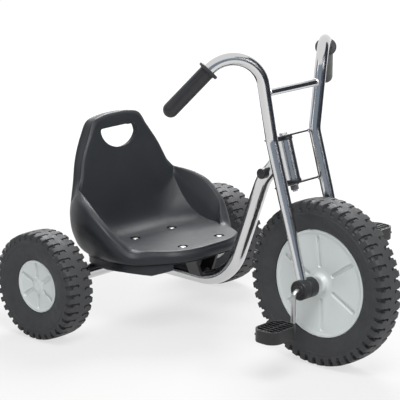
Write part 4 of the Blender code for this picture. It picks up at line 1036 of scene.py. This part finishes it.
def handle_outline(grow):
    """The handle hole: a straight top edge over a half ellipse, as (across, up)."""
    half = HANDLE_HALF + grow
    drop = HANDLE_HEIGHT - HANDLE_CORNER + grow
    points = []
    for index in range(33):
        angle = math.pi * index / 32
        points.append((half * math.cos(angle), -HANDLE_CORNER - drop * math.sin(angle)))
    for side, first in ((-1, math.pi), (1, math.pi / 2)):
        for step in range(1, 6) if side < 0 else range(5):
            angle = first - math.pi / 2 * step / 5
            across = side * (half - HANDLE_CORNER) + HANDLE_CORNER * math.cos(angle)
            points.append((across, -HANDLE_CORNER + (HANDLE_CORNER + grow) * math.sin(angle)))
    return points


def back_place(front, drop):
    """The matrix of the backrest's plane, at a distance in front of it."""
    back = Vector((-math.cos(BACK_LEAN), 0, -math.sin(BACK_LEAN)))
    up = Vector((-math.sin(BACK_LEAN), 0, math.cos(BACK_LEAN)))
    turn = Matrix((LATERAL, up, back)).transposed().to_4x4()
    return Matrix.Translation(HANDLE_TOP - Vector((0, 0, drop)) - back * front) @ turn


def slab(outline, depth, place):
    count = len(outline)
    verts = [place @ Vector((x, y, z)) for z in (0, depth) for x, y in outline]
    return verts, end_faces(2, count) + ring_faces(2, count)


def cut(piece, shape, operation="DIFFERENCE"):
    """One Boolean of a piece with a shape, applied at once."""
    tool = add_object("tool", solid_mesh("tool", *shape))
    made = piece.modifiers.new("cut", "BOOLEAN")
    made.operation = operation
    made.solver = "EXACT"
    made.object = tool
    result = evaluated(piece)
    piece.modifiers.clear()
    piece.data = result
    bpy.data.objects.remove(tool)


def bolt_place(x, y):
    return from_rear((x, y, FLOOR_AT[1] + (x - FLOOR_AT[0]) * FLOOR_SLOPE))


def make_seat():
    skin = solid_mesh("seat_bucket", *seat_skin(), 1e-6, 1e-7)
    floor_face = min(skin.polygons, key=lambda face: (face.center - bolt_place(0.14, 0)).length)
    if floor_face.normal.z < 0:
        skin.flip_normals()
    seat = add_object("seat_bucket", skin)
    wall = seat.modifiers.new("wall", "SOLIDIFY")
    wall.thickness = SEAT_WALL
    wall.offset = -1
    wall.use_quality_normals = True
    seat.data = evaluated(seat)
    seat.modifiers.clear()
    for grow, depth, front, drop, operation in HANDLE_CUTS:
        cut(seat, slab(handle_outline(grow), depth, back_place(front, drop)), operation)
    up = Vector((-FLOOR_SLOPE, 0, 1)).normalized()
    for x, y in SEAT_BOLTS:
        place = bolt_place(x, y)
        cut(seat, sweep([place - up * RECESS_DEPTH, place + up * RECESS_TOP], RECESS_RADIUS, 40))
    mesh = seat.data
    bpy.data.objects.remove(seat)
    place_mesh("seat_bucket", mesh, "seat", "frame", ["seat_shell"], angle=40)
    for index, (x, y) in enumerate(SEAT_BOLTS, 1):
        place = bolt_place(x, y) - up * BOLT_SUNK
        profile = [(0.0075, -0.0002), (0.0075, 0.0008), (0.0064, 0.0019)]
        profile += [(0.0036, 0.0025), (0.0001, 0.0027)]
        shape = lathe(softened(profile, 0.0006, 3), place, up, 40, False)
        add_piece("bolt_head_" + str(index), *shape, "zinc", "frame")


def make_skirt():
    hems = smooth_line([from_rear(station[3]) for station in SEAT_STATIONS])
    loop = hems[SKIRT_FIRST * STATION_STEPS :]
    missing = len(SEAT_STATIONS) - SKIRT_FIRST - len(SKIRT_BOTTOM)
    bottoms = list(SKIRT_BOTTOM) + [SKIRT_REAR_BOTTOM] * missing
    heights = [station_value(bottoms, row) for row in range(len(loop))]
    path = loop + [mirrored(point) for point in reversed(loop[:-1])]
    lows = heights + list(reversed(heights[:-1]))
    verts = []
    for index, point in enumerate(path):
        before = path[max(index - 1, 0)]
        after = path[min(index + 1, len(path) - 1)]
        along = Vector((after.x - before.x, after.y - before.y, 0)).normalized()
        inward = Vector((-along.y, along.x, 0))
        for inset, share in SKIRT_PROFILE:
            place = point + inward * inset
            high = (point.z - SKIRT_GAP - lows[index]) * share
            verts.append(Vector((place.x, place.y, lows[index] + high)))
    size = len(SKIRT_PROFILE)
    faces = ring_faces(len(path), size) + end_faces(len(path), size)
    add_piece("seat_apron", verts, faces, "seat", "frame", ["seat_skirt"])


# Carried-over nodes


def dress_nodes():
    """Gives every CAD node that stays the finish of its kind."""
    kinds = (
        # The steering plates and nut take the near-black plate chrome: painted dark reflection on the
        # plates, painted shade on the nut
        ("steering_plate", "plate"),
        ("steering_nut", "plate"),
        ("buffer_screw", "paint"),
        ("seat_bracket", "paint"),
        ("bush", "black"),
        ("", "zinc"),
    )
    for name, node in frame["nodes"].items():
        kind = next(kind for part, kind in kinds if part in name)
        node.data.materials.clear()
        node.data.materials.append(finishes[kind])


# Studio


def aimed(place, target):
    aim = (Vector(target) - Vector(place)).to_track_quat("-Z", "Y").to_matrix().to_4x4()
    return Matrix.Translation(place) @ aim


def add_camera():
    data = bpy.data.cameras.new("camera")
    data.lens = CAMERA_LENS
    camera = add_object("camera", data)
    camera.matrix_world = aimed(CAMERA_PLACE, CAMERA_TARGET) @ Matrix.Rotation(CAMERA_ROLL, 4, "Z")
    bpy.context.scene.camera = camera


def seen_directly(material):
    """1 for rays from the camera, off gloss and through glass, 0 for others."""
    rays = add_node(material, "LightPath").outputs
    pair = {0: rays["Is Camera Ray"], 1: rays["Is Glossy Ray"]}
    first = add_node(material, "Math", pair, operation="MAXIMUM")
    both = {0: first.outputs[0], 1: rays["Is Transmission Ray"]}
    return add_node(material, "Math", both, operation="MAXIMUM").outputs[0]


def add_world():
    world = bpy.data.worlds.new("studio")
    bpy.context.scene.world = world
    world.use_nodes = True
    sky = world.node_tree.nodes["Background"]
    sky.inputs["Color"].default_value = (1, 1, 1, 1)
    strength = between(world, seen_directly(world), 0.18, 1.0, 0, 1)
    world.node_tree.links.new(strength, sky.inputs["Strength"])


def bare_material(name):
    material = bpy.data.materials.new(name)
    material.use_nodes = True
    material.node_tree.nodes.clear()
    return material


def add_floor():
    mesh = bpy.data.meshes.new("floor")
    corners = ((-1, -1), (1, -1), (1, 1), (-1, 1))
    mesh.from_pydata([(x * FLOOR_HALF, y * FLOOR_HALF, 0) for x, y in corners], [], [(0, 1, 2, 3)])
    floor = add_object("floor", mesh)
    floor.location.z = -FLOOR_BELOW
    material = bare_material("floor")
    matt = add_node(material, "BsdfDiffuse", {"Color": (0.15, 0.15, 0.15, 1)})
    place = add_node(material, "TexCoord").outputs["Object"]
    reach = add_node(material, "VectorMath", {0: place}, operation="LENGTH").outputs["Value"]
    strength = between(material, reach, *GLOW, *GLOW_REACH)
    glow = add_node(material, "Emission", {"Color": (1, 1, 1, 1), "Strength": strength})
    seen = add_node(material, "AddShader", {0: matt.outputs[0], 1: glow.outputs[0]})
    plain = add_node(material, "BsdfDiffuse", {"Color": (0.75, 0.75, 0.75, 1)})
    both = {0: seen_directly(material), 1: plain.outputs[0], 2: seen.outputs[0]}
    mix = add_node(material, "MixShader", both)
    add_node(material, "OutputMaterial", {"Surface": mix.outputs[0]})
    mesh.materials.append(material)


def add_light(name, place, target, size, power):
    """A square-cornered soft light of a width and a height."""
    data = bpy.data.lights.new(name, "AREA")
    data.shape = "RECTANGLE"
    data.size, data.size_y = size
    data.energy = power
    light = add_object(name, data)
    light.matrix_world = aimed(place, target)
    return light


def spare_chrome(light):
    """Keeps a lamp off the chrome, which shows the white room instead."""
    spared = bpy.data.collections.new(light.name + "_spared")
    light.light_linking.receiver_collection = spared
    for piece in bpy.context.scene.objects:
        if piece.type == "MESH" and piece.active_material == finishes["chrome"]:
            spared.objects.link(piece)
    for member in spared.collection_objects:
        member.light_linking.link_state = "EXCLUDE"


def add_card(name, reach, turn, height, colour):
    """A curved card round the part, which only gloss and metal see."""
    verts = []
    for index in range(CARD_STEPS + 1):
        angle = math.radians(turn[0] + (turn[1] - turn[0]) * index / CARD_STEPS)
        for z in height:
            verts.append((reach * math.cos(angle), reach * math.sin(angle), z))
    faces = [(first, first + 2, first + 3, first + 1) for first in range(0, 2 * CARD_STEPS, 2)]
    mesh = bpy.data.meshes.new(name)
    mesh.from_pydata(verts, [], faces)
    card = add_object(name, mesh)
    card.visible_camera = False
    card.visible_diffuse = False
    card.visible_shadow = False
    material = bare_material(name)
    glow = add_node(material, "Emission", {"Color": (*colour, 1), "Strength": 1.0})
    add_node(material, "OutputMaterial", {"Surface": glow.outputs[0]})
    mesh.materials.append(material)


def make_studio():
    add_world()
    add_floor()
    add_card("front_card", 4.8, (-144, -14), (0.0, 3.6), (0.27, 0.32, 0.38))
    add_card("side_card", 1.8, (-16, 78), (0.0, 2.6), (0.035, 0.042, 0.055))
    front = add_light("front", (1.32, -1.11, 2.76), (0, 0, 0.3), (1.4, 1.4), 92)
    back = add_light("back", (-1.39, 1.60, 2.42), (0, 0, 0.3), (1.8, 1.8), 140)
    add_light("ahead", (2.55, 0.25, 1.75), (0, 0, 0.3), (1.2, 1.2), 40)
    add_light("strip", (-0.65, -2.83, 1.35), (0, 0, 0.35), (0.5, 2.3), 6)
    bpy.context.scene.view_settings.view_transform = "Standard"
    return front, back


add_camera()
finishes = make_finishes()
lamps = make_studio()
dress_nodes()
make_wheels()
make_frame()
make_fork()
make_crankshaft()
for side_name, side_sign in SIDES:
    make_pedal(side_name, side_sign)
make_seat()
make_skirt()
for lamp in lamps:
    spare_chrome(lamp)
